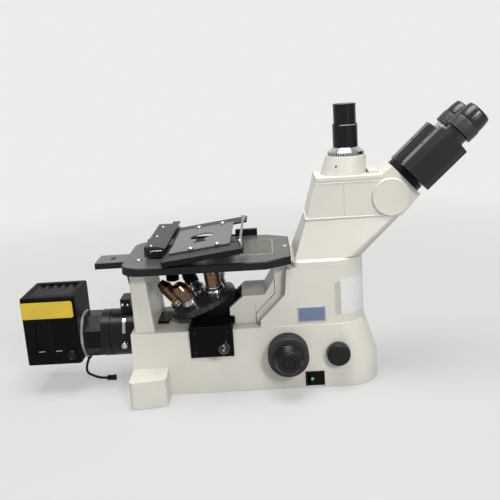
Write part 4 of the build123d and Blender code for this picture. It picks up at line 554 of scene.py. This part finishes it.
for index, finish in enumerate(barrel_finishes):
    angle = seat_park + index * 2 * pi / 5
    turn_x = Vector(near_way)
    turn_y = turret_way.cross(turn_x)
    outward = turn_x * sin(angle) + turn_y * cos(angle)
    seat = Vector(turret_place) + outward * seat_r
    seat_way = turret_way * cos(turret_tilt) + outward * sin(turret_tilt)
    number = str(index + 1)
    barrel_r = barrel_radii[index]
    collar_r = widest_collar_r * collar_r_shares[index]
    collar = grown("objective_collar_" + number, [
        (10, -5), (10, -0.7), (collar_r - 0.8, -0.7), (collar_r, 0.2), (collar_r, 6.2), (collar_r - 0.6, 7),
        (collar_r - 0.6, 8), (collar_r - 1.6, 9.4), (barrel_r - 0.4, 11.2),
    ], collar_sides)
    fluted(collar, 0.2, 6.2, 0.1, 1.1, collar_sides, 2)
    finished(stood(collar, seat, seat_way), "turret", satin_chrome, 30)
    second_finish(collar, groove_painted_shade)
    barrel_top = barrel_heights[index]
    nose_r = nose_radii[index]
    nose_top = nose_heights[index]
    barrel = grown("objective_barrel_" + number, [
        (barrel_r - 0.7, 10), (barrel_r - 0.7, 13.4), (barrel_r, 13.9), (barrel_r, barrel_top - 8.5),
        (barrel_r - 0.5, barrel_top - 8.2), (barrel_r - 0.5, barrel_top - 7.2), (barrel_r, barrel_top - 6.9),
        (barrel_r, barrel_top - 1.2), (barrel_r - 0.6, barrel_top - 0.4),
        (nose_r + (barrel_r - nose_r) * 0.45, barrel_top + (nose_top - barrel_top) * 0.45),
        (nose_r, nose_top - 0.5), (nose_r - 0.5, nose_top),
        (nose_r * 0.5, nose_top), (nose_r * 0.44, nose_top - 0.8),
    ], 64)
    finished(stood(barrel, seat, seat_way), "turret", finish, 35)
    band = grown("objective_band_" + number, [
        (barrel_r - 0.2, 11.0), (barrel_r + 0.15, 11.3), (barrel_r + 0.15, 13.2), (barrel_r - 0.2, 13.5),
    ], 64)
    finished(stood(band, seat, seat_way), "turret", yellow_ring if index == 2 else satin_chrome, 30)
    glass = grown("objective_glass_" + number, [
        (nose_r * 0.42, nose_top - 1.2), (nose_r * 0.42, nose_top - 0.5),
        (nose_r * 0.2, nose_top - 0.3),
    ], 32)
    finished(stood(glass, seat, seat_way), "turret", lens_glass, 60)
    for part in (collar, barrel):
        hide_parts("objective_" + number)

# Filter housing: a folded black box in the base's side with a screwed top frame, and a steel rod with a
# black ball that pulls the filter slide.
box_low, box_high = box_mm("filter_box")
softened("filter_box", "frame", black_paint, 0.8)
slider_skin = softened("filter_slider", "filters", black_anodised, 0.3, 2)
rod_y, rod_z, rod_r = -20.5, 85.5, 3.0


def on_rod(face):
    """Whether a face of the slider is on its rod, outside the housing."""
    x, y, z = face.center / mm
    return x < box_low.x and Vector((y - rod_y, z - rod_z)).length < rod_r + 0.1


second_finish(slider_skin, steel, on_rod)
frame_lip = 3.0
rim_low_x, rim_low_y = box_low.x + 1, box_low.y + 1
rim_high_x, rim_high_y = box_high.x - 1, box_high.y - 1
for side_name, low, high in (
        ("near", (rim_low_x, rim_low_y), (rim_low_x + frame_lip, rim_high_y)),
        ("far", (rim_high_x - frame_lip, rim_low_y), (rim_high_x, rim_high_y)),
        ("front", (rim_low_x, rim_low_y), (rim_high_x, rim_low_y + frame_lip)),
        ("rear", (rim_low_x, rim_high_y - frame_lip), (rim_high_x, rim_high_y))):
    rim = slab("filter_rim_" + side_name, (*low, box_high.z - 0.3), (*high, box_high.z + 1.2), 0.4)
    finished(rim, "frame", black_anodised)
screw_black = finish_material("screw_black", (0.006, 0.006, 0.006), 0.35, 1500, 0.00003, metallic=0.5)


def cap_screw(name, radius, height):
    """A round screw head with a chamfered rim and a round socket sunk in its middle."""
    socket = radius / 2
    return grown(name, [
        (radius, -0.3), (radius, height - radius / 5), (radius - radius / 5, height), (socket, height),
        (socket * 0.92, height / 2),
    ], 32)


def screw_row(name, radius, height, places, way, body, material):
    """Several cap screws of one kind, numbered from nought."""
    for number, place in enumerate(places):
        screw = stood(cap_screw(name + str(number), radius, height), place, way)
        finished(screw, body, material)


screw_row("filter_screw_", 2.2, 0.7, [(box_low.x, y, z) for y, z in ((-24, 96), (24, 96), (24, 66))], near_way,
          "frame", screw_black)
gloss_black = finish_material("gloss_black", (0.005, 0.005, 0.005), 0.1, 1200, 0.00001, dust=0.05, smudge=0.06,
                              coat=0.15)
ball_r = 8.15
ball_profile = [(ball_r * sin(radians(step)), -ball_r * cos(radians(step))) for step in range(14, 168, 7)]
ball = grown("filter_ball", ball_profile + [(1.6, 8.1), (1.2, 7.5)], 64)
finished(stood(ball, (-105, rod_y, rod_z), near_way), "filters", gloss_black, 60)

# Stage: a thick plate of cast aluminium in black paint, rubbed grey on top, with a turned ring in its
# hole, two bright screws that hold it down, each with a dark strip across its head as painted shade in its
# slot, and a bare grey plate with a thin rim let into its top.
stage_skin = softened("stage_plate", "frame", stage_paint, 0.8)
stage_top = finish_material("stage_top", (0.05, 0.05, 0.049), 0.34, 1100, 0.0001, (0.075, 0.072, 0.068), 0.4, 0.16)
second_finish(stage_skin, stage_top, lambda face: face.normal.z > 0.9)
softened("stage_insert", "frame", black_anodised, 0.3, 2)
stage_low, stage_high = box_mm("stage_plate")
stage_grey = finish_material("stage_grey", (0.075, 0.075, 0.055), 0.4, 1500, 0.00004, (0.14, 0.13, 0.09), 0.6, 0.2,
                             metallic=0.3)
window_edge = finish_material("window_edge", (0.32, 0.32, 0.29), 0.35, 1500, 0.00002, (0.2, 0.19, 0.16), 0.3, 0.1,
                              metallic=0.5)
window_rim = slab("stage_window_rim", (-43.2, -98.2, stage_high.z - 1), (48.2, -50.8, stage_high.z + 0.25), 0.2)
finished(window_rim, "frame", window_edge)
window = slab("stage_window", (-42, -97, stage_high.z - 1), (47, -52, stage_high.z + 0.3), 0.3)
finished(window, "frame", stage_grey)
for number, place in enumerate(((0, stage_low.y + 7), (-35, stage_high.y - 22))):
    head = grown("stage_screw_" + str(number), [
        (4.2, -0.4), (4.2, 0.4), (3.5, 1.0), (1.6, 1.1),
    ], 40)
    pick(head, "FACE", lambda face: face.center.z > 0.85 * mm)
    bpy.ops.mesh.bisect(plane_co=(0, 0.4 * mm, 0), plane_no=(0, 1, 0))
    bpy.ops.object.mode_set(mode="OBJECT")
    finished(stood(head, (place[0], place[1], stage_high.z), up_way), "frame", satin_chrome)
    # A dark strip across the screw head stands for its slot: painted shade in the slot.
    slot_shade = slab("stage_screw_slot_shade_" + str(number), (place[0] - 0.45, place[1] - 2, stage_high.z + 0.8),
                (place[0] + 0.45, place[1] + 2, stage_high.z + 1.0), 0.05, 1)
    finished(slot_shade, "frame", screw_black)

# Stage drive: a steel rail under the far edge, a carriage on it with two knobs on one axis, and a grey
# beam that carries the specimen holder across.
softened("stage_rail", "frame", black_anodised, 0.5, 2)
softened("y_carriage", "stage_cross", black_anodised, 0.5, 2)
beam_grey = finish_material("beam_grey", (0.020, 0.020, 0.021), 0.38, 1800, 0.00005, (0.05, 0.047, 0.045), 0.25,
                            0.15, specular=0.2)
softened("x_beam", "stage_cross", beam_grey, 0.8, 2)
beam_low, beam_high = box_mm("x_beam")
beam_screw_places = [(beam_low.x + along, beam_high.y - 10, beam_high.z) for along in (8, 70, 140)]
screw_row("beam_screw_", 2.4, 0.7, beam_screw_places, up_way, "stage_cross", satin_chrome)
end_plate = slab("beam_end_plate", (beam_low.x - 0.8, beam_low.y + 2, beam_low.z + 2.5),
                 (beam_low.x + 0.6, beam_high.y - 6, beam_low.z + 11), 0.4)
finished(end_plate, "stage_cross", screw_black)
for name, low, high in (("beam_slot_top", (beam_low.y + 5, 9.2), (beam_high.y - 9, 9.9)),
                        ("beam_slot_side", (beam_high.y - 9.7, 5.2), (beam_high.y - 9, 9.9))):
    slot_edge = slab(name, (beam_low.x - 1.1, low[0], beam_low.z + low[1]),
                     (beam_low.x - 0.6, high[0], beam_low.z + high[1]), 0.1, 1)
    finished(slot_edge, "stage_cross", satin_chrome)
knob_low, knob_high = box_mm("y_drive_knob")
knob_x = (knob_low.x + knob_high.x) / 2
knob_y = (knob_low.y + knob_high.y) / 2
for name, node, body, sides, band, shape in (
        ("stage_knob_upper", "y_drive_knob", "y_knob", 72, (1, 19),
         [(12, 0), (13.4, 0), (14, 0.6), (14, 19.4), (13.4, 20), (5, 20)]),
        ("stage_knob_lower", "x_drive_knob", "x_knob", 64, (2, 23),
         [(8, -0.2), (9.8, 0), (11, 1.2), (11, 23.4), (10.4, 24), (3, 24)])):
    low, high = box_mm(node)
    shaft_r = shape[-1][0]
    stage_knob = grown(name, shape + [(shaft_r, high.z - low.z)], sides)
    fluted(stage_knob, *band, 0.25, 0.5, sides)
    finished(stood(stage_knob, (knob_x, knob_y, low.z), up_way), body, satin_black, 25)
    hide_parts(node)

# Specimen holder: two black arms with a grey satin plate between them, four chrome clamp screws and a
# steel rod across the front on two posts.
softened("specimen_arms", "specimen_holder", black_anodised, 0.4, 2)
plate_grey = finish_material("plate_grey", (0.13, 0.13, 0.125), 0.36, 1800, 0.00004, (0.2, 0.19, 0.17), 0.3, 0.16,
                             metallic=0.5)
softened("holder_plate", "specimen_holder", plate_grey, 0.3, 2)
holder_tilt = radians(7)
holder_way = Vector((0, sin(holder_tilt), cos(holder_tilt)))
holder_front = Vector((0, -cos(holder_tilt), sin(holder_tilt)))
holder_place = Vector((0, 60, 212.5))


def on_holder(x, along, height):
    """A place on the tilted holder, from its rear edge."""
    return holder_place + Vector((x, 0, 0)) + holder_front * along + holder_way * height


def set_square(piece, place, across, along, up):
    """Put a part at a place in millimetres, with each of its three axes along a direction."""
    turn = Matrix((across, along, up)).transposed().to_4x4()
    piece.matrix_world = Matrix.Translation(Vector(place) * mm) @ turn


arm_root_x = -98
arm_length = 119
arm_lip = slab("arm_lip", (-1, 1, -5), (1, arm_length - 1, 0.2), 0.4)
set_square(arm_lip, on_holder(arm_root_x, 0, 0), near_way, holder_front, holder_way)
finished(arm_lip, "specimen_holder", black_anodised)
clip_plate_top = 4.5
clip_screw = grown("clip_screw_0", [
    (3.2, -0.1), (4.2, 0.2), (4.2, 2), (3.4, 2.9), (1.6, 3.2), (1.1, 2.6),
], 40)
fluted(clip_screw, 0.3, 1.9, 0.12, 0.25, 40, 2)
clip_screws = [clip_screw] + [twin(clip_screw, "clip_screw_" + str(number)) for number in (1, 2, 3)]
clip_places = [(x, arm_length * share) for share in (0.34, 0.67) for x in (-57, 87)]
for screw, (clip_x, clip_along) in zip(clip_screws, clip_places):
    stood(screw, on_holder(clip_x, clip_along, clip_plate_top), holder_way)
    finished(screw, "specimen_holder", satin_chrome, 35)
rod_steel = finish_material("rod_steel", (0.26, 0.225, 0.18), 0.3, 2000, 0.00002, (0.2, 0.18, 0.15), 0.2, 0.12,
                            metallic=1.0)
post = grown("rod_post_0", [(2.8, -0.1), (2.8, 7.4), (2.1, 8.2), (1.1, 8.4), (0.8, 7.8)], 32)
far_post = twin(post, "rod_post_1")
near_post_x, far_post_x, post_along = -77, 107, 114.3
for part, post_x in ((post, near_post_x), (far_post, far_post_x)):
    stood(part, on_holder(post_x, post_along, 2.5), holder_way)
    finished(part, "specimen_holder", satin_chrome, 35)
rod_length = far_post_x - near_post_x
front_rod = grown("front_rod", [(1.5, -0.5), (1.8, 0), (1.8, rod_length), (1.5, rod_length + 0.5)], 24)
finished(stood(front_rod, on_holder(near_post_x, post_along, 7.7), far_way), "specimen_holder", rod_steel, 40)
for part in clip_screws + [post, far_post, front_rod]:
    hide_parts("clamp_screws")

# Head: the neck and head are cream castings, with a lid, a round boss and a fine seam on each side, the
# light path selector and the cone that carries the camera tube. The neck's cream is painted a little
# darker as painted shade, so that its face, which leans up to the light, reads as dark as the head's.
# The neck's cream is a darker copy of the paint: painted shade.
neck_shaded_paint = finish_material("neck_shaded_paint", (0.47, 0.445, 0.395), 0.42, 1500, 0.00008, (0.42, 0.395, 0.35), 0.2, 0.12,
                             coat=0.12)
softened("head_neck", "frame", neck_shaded_paint, 2.2)
softened("head_block", "frame", cream_paint, 1.2)
softened("photo_port", "frame", cream_paint, 1.0)
repainted(("path_selector",), black_plastic)
neck_top = box_mm("head_neck")[1].z
for name, half_width, low, high, rounding in (
        ("head_skirt", 37.1, (-288.5, neck_top + 0.4), (-147.6, neck_top + 3.4), 1.2),
        ("head_lid", 36.9, (-261.0, 304.5), (-165.2, 311.2), 1.4),
        ("head_lid_band", 36.5, (-262.5, 300.5), (-164.2, 303.2), 0.8)):
    step = slab(name, (-half_width, *low), (half_width, *high), rounding)
    finished(step, "frame", cream_paint)
seam_pair("head_seam_", 36.0, (-205.2, neck_top + 3.5), (-204.9, 300), 0.1, 0.04)
boss = grown("head_boss", [
    (27.2, -0.5), (27.6, 1.2), (27.0, 2.2), (25.8, 2.6), (24.4, 2.2), (12, 2.3), (4, 2.4),
], 96)
far_boss = twin(boss, "head_boss_far")
boss_y, boss_z = -273, 277.3
for part, boss_x, way in ((boss, -37.4, near_way), (far_boss, 37.4, far_way)):
    finished(stood(part, (boss_x, boss_y, boss_z), way), "frame", cream_paint, 30)
port_screw = stood(cap_screw("port_screw", 1.5, 0.5), (-31.4, -195.5, 325), (-0.9, 0.2, 0.35))
finished(port_screw, "frame", screw_black)

# Camera tube: a chrome knurled clamp ring, with its grooves painted dark as shade, on the cone holds a
# black tube with a thin white index line at its step and a lighter rim at its open top.
clamp_z = box_mm("clamp_ring")[0].z
tube_low, tube_high = box_mm("camera_tube")
light_y = (tube_low.y + tube_high.y) / 2
ring = grown("clamp_ring_turned", [
    (14, 0), (25.6, 0), (26.8, 0.8), (26.8, 5.4), (25.8, 6.3), (24.4, 6.6), (18.8, 11.2), (18.3, 11.5), (14, 11.5),
], 96)
fluted(ring, 0.9, 5.3, 0.1, 0.9, 96, 2)
finished(stood(ring, (0, light_y, clamp_z), up_way), "frame", satin_chrome, 25)
second_finish(ring, groove_painted_shade)
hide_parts("clamp_ring")
tube = grown("camera_tube_turned", [
    (14, -1), (14, 11.5), (18.2, 11.5), (18.2, 44.6), (17.8, 45.3), (16.4, 45.5), (16.4, 71.5), (16.8, 72.1),
    (16.8, 73.1), (16, 73.5), (12.7, 73.5), (12.7, 65.5), (9, 65.5), (9, 20),
], 80)
finished(stood(tube, (0, light_y, clamp_z), up_way), "frame", satin_black, 30)
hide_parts("camera_tube")
index_white = finish_material("index_white", (0.7, 0.7, 0.68), 0.5, 900, 0.00001)
index_line = curved_plate("tube_index_line", 18.15, 150, 235, 0, 0.6, 0.1)
index_line.location = (0, light_y * mm, (clamp_z + 43.6) * mm)
finished(index_line, "frame", index_white)
rim_grey = finish_material("rim_grey", (0.16, 0.16, 0.165), 0.3, 2000, 0.00002, metallic=0.8)
tube_rim = grown("camera_tube_rim", [
    (13.2, 73.4), (16.5, 73.4), (16.5, 73.9), (13.2, 73.9), (13.2, 73.0),
], 80)
finished(stood(tube_rim, (0, light_y, clamp_z), up_way), "frame", rim_grey, 30)

# Binocular: two black prism boxes that swing about the flange, each with a grey plate and bar on top as
# painted glare of the light on its top and a black strip across them at a notch, a barrel on each with
# fine white marks, a smooth dark diopter ring and a dark eyepiece hood with a glass lens.
repainted(("binocular_base",), black_anodised)
slope = radians(42.8)
bino_way = Vector((0, -cos(slope), sin(slope)))
bino_up = bino_way.cross(Vector(far_way))
bino_place = Vector((0, -296, 299.5))
diopter_grey = finish_material("diopter_grey", (0.028, 0.030, 0.033), 0.38, 2000, 0.00002, (0.04, 0.04, 0.04), 0.08,
                               0.08, specular=0.3)
hood_grey = finish_material("hood_grey", (0.008, 0.008, 0.009), 0.26, 1500, 0.00002, dust=0.06, smudge=0.08,
                            specular=0.4)
mark_white = finish_material("mark_white", (0.6, 0.6, 0.6), 0.5, 900, 0.00001)
prism_black = finish_material("prism_black", (0.010, 0.010, 0.011), 0.3, 1500, 0.00002, smudge=0.08, specular=0.3)
# A lighter grey for the plates on top of the prism boxes: painted glare of the light on their tops.
lid_glare_grey = finish_material("lid_glare_grey", (0.10, 0.10, 0.10), 0.4, 1500, 0.00003, (0.15, 0.15, 0.15), 0.2, 0.1,
                           metallic=0.3)
tube_offset = 33
tube_dip = radians(5)
tube_out = tube_offset * cos(tube_dip)
tube_drop = -tube_offset * sin(tube_dip)
for side, name, barrel_finish in ((-1, "left", gloss_black), (1, "right", satin_chrome)):
    body = name + "_tube"
    ring_body = name + "_diopter"
    softened(name + "_prism_box", body, prism_black, 1.6)
    tube_place = bino_place + Vector((side * tube_out, 0, 0)) + bino_up * tube_drop
    # Each box's top gets a grey plate and a grey bar as painted glare, and a black strip at a notch.
    for part, low, high, finish in (
            ("_lid", (side * 28, 15, 24.9), (side * 46, 82, 25.7), lid_glare_grey),
            ("_lid_bar", (side * 31, 64, 25.5), (side * 33, 81, 26.3), lid_glare_grey),
            ("_lid_notch", (side * 30, 50, 25.5), (side * 40, 52.5, 25.9), black_plastic)):
        corners = list(zip(low, high))
        glare_part = slab(name + part, [min(pair) for pair in corners], [max(pair) for pair in corners], 0.3)
        set_square(glare_part, bino_place + bino_up * tube_drop, far_way, bino_way, bino_up)
        finished(glare_part, body, finish)
    barrel = grown(name + "_barrel", [
        (16.4, 71), (16.4, 85.4), (17.3, 85.6), (17.3, 88.2), (16.5, 88.6), (16.5, 96.3), (15.6, 97), (15, 97),
        (15, 116), (14, 117),
    ], 72)
    finished(stood(barrel, tube_place, bino_way), body, barrel_finish, 30)
    hood = grown(name + "_hood", [
        (14.8, 115.6), (17, 116), (19.6, 116.2), (20, 117), (20, 121.4), (19.6, 121.8), (19.6, 122.4), (20, 122.8),
        (19.5, 128), (18.7, 133), (18.3, 135.4), (17.4, 137.2), (15.6, 138), (13.4, 138), (12.2, 137.4), (11, 134.6),
    ], 72)
    finished(stood(hood, tube_place, bino_way), body, hood_grey, 50)
    eye_lens = grown(name + "_eye_lens", [(11.4, 134), (11.4, 134.7), (9, 135.5), (5, 136), (2, 136.1)], 48)
    finished(stood(eye_lens, tube_place, bino_way), body, lens_glass, 60)
    for part in (barrel, hood):
        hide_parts(name + "_eyepiece")
    ring = grown(name + "_diopter_turned", [
        (15.1, 97.1), (20.4, 97.1), (21, 97.8), (21, 100.4), (20.6, 100.8), (20.6, 102.2), (21, 102.6), (21, 113.6),
        (20.4, 115.9), (15.1, 115.9),
    ], 96)
    finished(stood(ring, tube_place, bino_way), ring_body, diopter_grey, 25)
    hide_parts(name + "_diopter_ring")
    mark_up = Vector((side * -0.75, 0, 0)) + bino_up * 0.66
    mark_across = bino_way.cross(mark_up)
    for number in range(5):
        spread = radians((number - 2) * 9)
        mark_way = mark_up * cos(spread) + mark_across * sin(spread)
        mark_side = mark_across * cos(spread) - mark_up * sin(spread)
        mark = slab(name + "_scale_mark_" + str(number), (-0.3, -1.4, -0.3), (0.3, 1.4, 0.15), 0.08, 1)
        set_square(mark, tube_place + bino_way * 93 + mark_way * 16.5, mark_side, bino_way, mark_way)
        finished(mark, body, mark_white)

# Lamp adapter: a turned black tube with a tray for a filter, a knurled steel clamp screw with its grooves
# painted dark as shade, and a curved bare scale plate of bright metal.
lamp_axis_z = 82
softened("lamp_adapter", "frame", satin_black, 0.6)
softened("filter_tray", "tray", black_anodised, 0.8)
scale_plate = curved_plate("scale_plate", 36.55, 128, 166, -4.5, 0, 0.8)
finished(stood(scale_plate, (0, 133.5, lamp_axis_z), front_way), "frame", satin_chrome)
screw_row("tray_screw_", 2.0, 1.0, ((-17, 137.2, 130), (-17, 129.4, 130)), near_way, "tray",
          satin_chrome)
clamp_screw = grown("clamp_screw_turned", [
    (2, -7), (2, 0), (4.2, 0), (4.8, 0.6), (4.8, 8.2), (4.2, 9), (3.6, 9), (3.1, 7), (1.2, 6.6),
], 40)
fluted(clamp_screw, 0.7, 8.1, 0.15, 0.4, 40, 2)
finished(stood(clamp_screw, (-36.5, 135, 74), near_way), "adapter_screw", satin_chrome, 25)
second_finish(clamp_screw, groove_painted_shade)
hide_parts("lamp_clamp_screw")

# Lamphouse: cast and folded black metal round the arc lamp, with louvres in its roof, two sunk panels on
# the side with fine bright marks, a bare yellow plate above them and a small adjusting knob.
block_black = finish_material("block_black", (0.004, 0.004, 0.0045), 0.2, 1400, 0.00003, dust=0.06, smudge=0.08,
                              specular=0.12)
softened("lamp_collector_block", "frame", block_black, 1.2)
softened("lamphouse_shell", "frame", black_paint, 1.0)
softened("vent_cover", "frame", black_anodised, 0.4, 2)
house_low, house_high = box_mm("lamphouse_shell")
flange_grey = finish_material("flange_grey", (0.42, 0.42, 0.41), 0.3, 1500, 0.00004, (0.2, 0.2, 0.2), 0.3, 0.15,
                              metallic=0.8)
flange_ring = grown("lamp_flange", [(30, 0), (36, 0), (37, 1), (37, 3.6), (36, 4.6), (30, 4.6)], 80)
finished(stood(flange_ring, (0, house_low.y - 4.4, lamp_axis_z), rear_way), "frame", flange_grey, 30)
plate_yellow = finish_material("plate_yellow", (0.62, 0.43, 0.025), 0.42, 1100, 0.00003, (0.3, 0.25, 0.1), 0.2, 0.1)


def runs_across(edge):
    """Whether an edge of the yellow plate is one of its four corners."""
    start, end = [yellow_plate.data.vertices[number].co for number in edge.vertices]
    return abs((end - start).normalized().x) > 0.99


yellow_plate = slab("yellow_plate", (house_low.x - 0.5, house_low.y + 3.5, 124),
                    (house_low.x + 1, house_high.y - 1, 150))
pick(yellow_plate, "EDGE", runs_across)
bpy.ops.mesh.bevel(offset=3.5 * mm, segments=6, affect="EDGES")
bpy.ops.object.mode_set(mode="OBJECT")
apply_bevel(yellow_plate, 0.15, 2)
finished(yellow_plate, "frame", plate_yellow)
for number, share in enumerate((0.386, 0.705)):
    mark_y = house_low.y + (house_high.y - house_low.y) * share
    mark = slab("house_mark_" + str(number), (house_low.x - 0.15, mark_y - 5, house_low.z + 21),
                (house_low.x + 0.5, mark_y + 5, house_low.z + 21.7), 0.1, 1)
    finished(mark, "frame", mark_white)
lamp_knob = grown("lamp_knob_turned", [
    (2.5, -4), (2.5, 0.3), (6.2, 0.3), (7, 1), (7, 6.6), (6.2, 7.8), (5, 8.3), (4.6, 7.8), (2, 7.7),
], 48)
fluted(lamp_knob, 1.1, 6.5, 0.15, 0.35, 48)
finished(stood(lamp_knob, (house_low.x, house_low.y + 12.2, 65.7), near_way), "lamp_adjuster",
         satin_black, 25)
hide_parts("lamp_knob")

# Floor and light: a plain pale sweep and a pale room, a soft key lamp behind the camera on its right,
# a broad lamp overhead and two weak fills.
bpy.ops.object.select_all(action="DESELECT")
bpy.ops.mesh.primitive_grid_add(x_subdivisions=1, y_subdivisions=24, size=12)
floor = bpy.context.active_object
floor.name = "floor"
flat_reach = 1.5
for vertex in floor.data.vertices:
    rise = vertex.co.y - flat_reach
    if rise > 0:
        vertex.co.y = flat_reach + min(rise, 1.2)
        vertex.co.z = max(rise - 0.6, 0) * 1.4
floor.data.transform(Matrix.Rotation(radians(-90), 4, "Z"))


def seen_directly(tree):
    """A mask: one where the camera, a mirror or glass looks, and nought for the light that is given."""
    path = added_node(tree, "LightPath").outputs
    mirrored = worked_out(tree, "MAXIMUM", path["Is Camera Ray"], path["Is Glossy Ray"])
    return worked_out(tree, "MAXIMUM", mirrored, path["Is Transmission Ray"])


floor_material, floor_shader = node_material("pale_floor", (0.42, 0.42, 0.415), 0.9)
floor_tree = floor_material.node_tree
floor_links = floor_tree.links
floor_place = added_node(floor_tree, "TexCoord")
floor_reach = added_node(floor_tree, "VectorMath")
floor_reach.operation = "LENGTH"
floor_fade = added_node(floor_tree, "MapRange", from_min=0.5, from_max=1.6, to_min=0.5)
floor_glow = added_node(floor_tree, "Emission", color=(0.84, 0.84, 0.83, 1))
floor_mix = added_node(floor_tree, "MixShader")
floor_links.new(floor_place.outputs["Object"], floor_reach.inputs[0])
floor_links.new(floor_reach.outputs["Value"], floor_fade.inputs["Value"])
glow_share = worked_out(floor_tree, "MULTIPLY", floor_fade.outputs["Result"], seen_directly(floor_tree))
floor_links.new(glow_share, floor_mix.inputs["Fac"])
floor_links.new(floor_shader.outputs["BSDF"], floor_mix.inputs[1])
floor_links.new(floor_glow.outputs["Emission"], floor_mix.inputs[2])
floor_links.new(floor_mix.outputs["Shader"], floor_tree.nodes["Material Output"].inputs["Surface"])
floor.data.materials.append(floor_material)
bpy.ops.object.shade_smooth()

world = bpy.data.worlds.new("soft_room")
world.use_nodes = True
room_nodes = world.node_tree.nodes
room_links = world.node_tree.links
room_light = room_nodes["Background"]
room_light.inputs["Color"].default_value = (0.9, 0.92, 0.95, 1)
room_light.inputs["Strength"].default_value = 0.24
room_seen = added_node(world.node_tree, "Background", color=(0.55, 0.55, 0.55, 1))
room_mix = added_node(world.node_tree, "MixShader")
room_links.new(seen_directly(world.node_tree), room_mix.inputs["Fac"])
room_links.new(room_light.outputs["Background"], room_mix.inputs[1])
room_links.new(room_seen.outputs["Background"], room_mix.inputs[2])
room_links.new(room_mix.outputs["Shader"], room_nodes["World Output"].inputs["Surface"])
bpy.context.scene.world = world


def soft_lamp(name, place, target, size, power):
    """A square soft box that faces a point."""
    lamp_data = bpy.data.lights.new(name, "AREA")
    lamp_data.size = size
    lamp_data.energy = power
    lamp = bpy.data.objects.new(name, lamp_data)
    lamp.location = place
    lamp.rotation_euler = (Vector(target) - Vector(place)).to_track_quat("-Z", "Y").to_euler()
    bpy.context.collection.objects.link(lamp)


lamp_aim = (0, -0.05, 0.15)
soft_lamp("key_box", (-2.6, -1.15, 1.75), lamp_aim, 0.4, 44)
soft_lamp("low_box", (-2.4, -1.6, 0.8), lamp_aim, 0.6, 8)
soft_lamp("overhead_box", (-0.3, 0, 2.6), lamp_aim, 1.6, 88)
soft_lamp("side_box", (-1.2, 1.3, 0.9), (0, 0, 0.15), 0.9, 2)
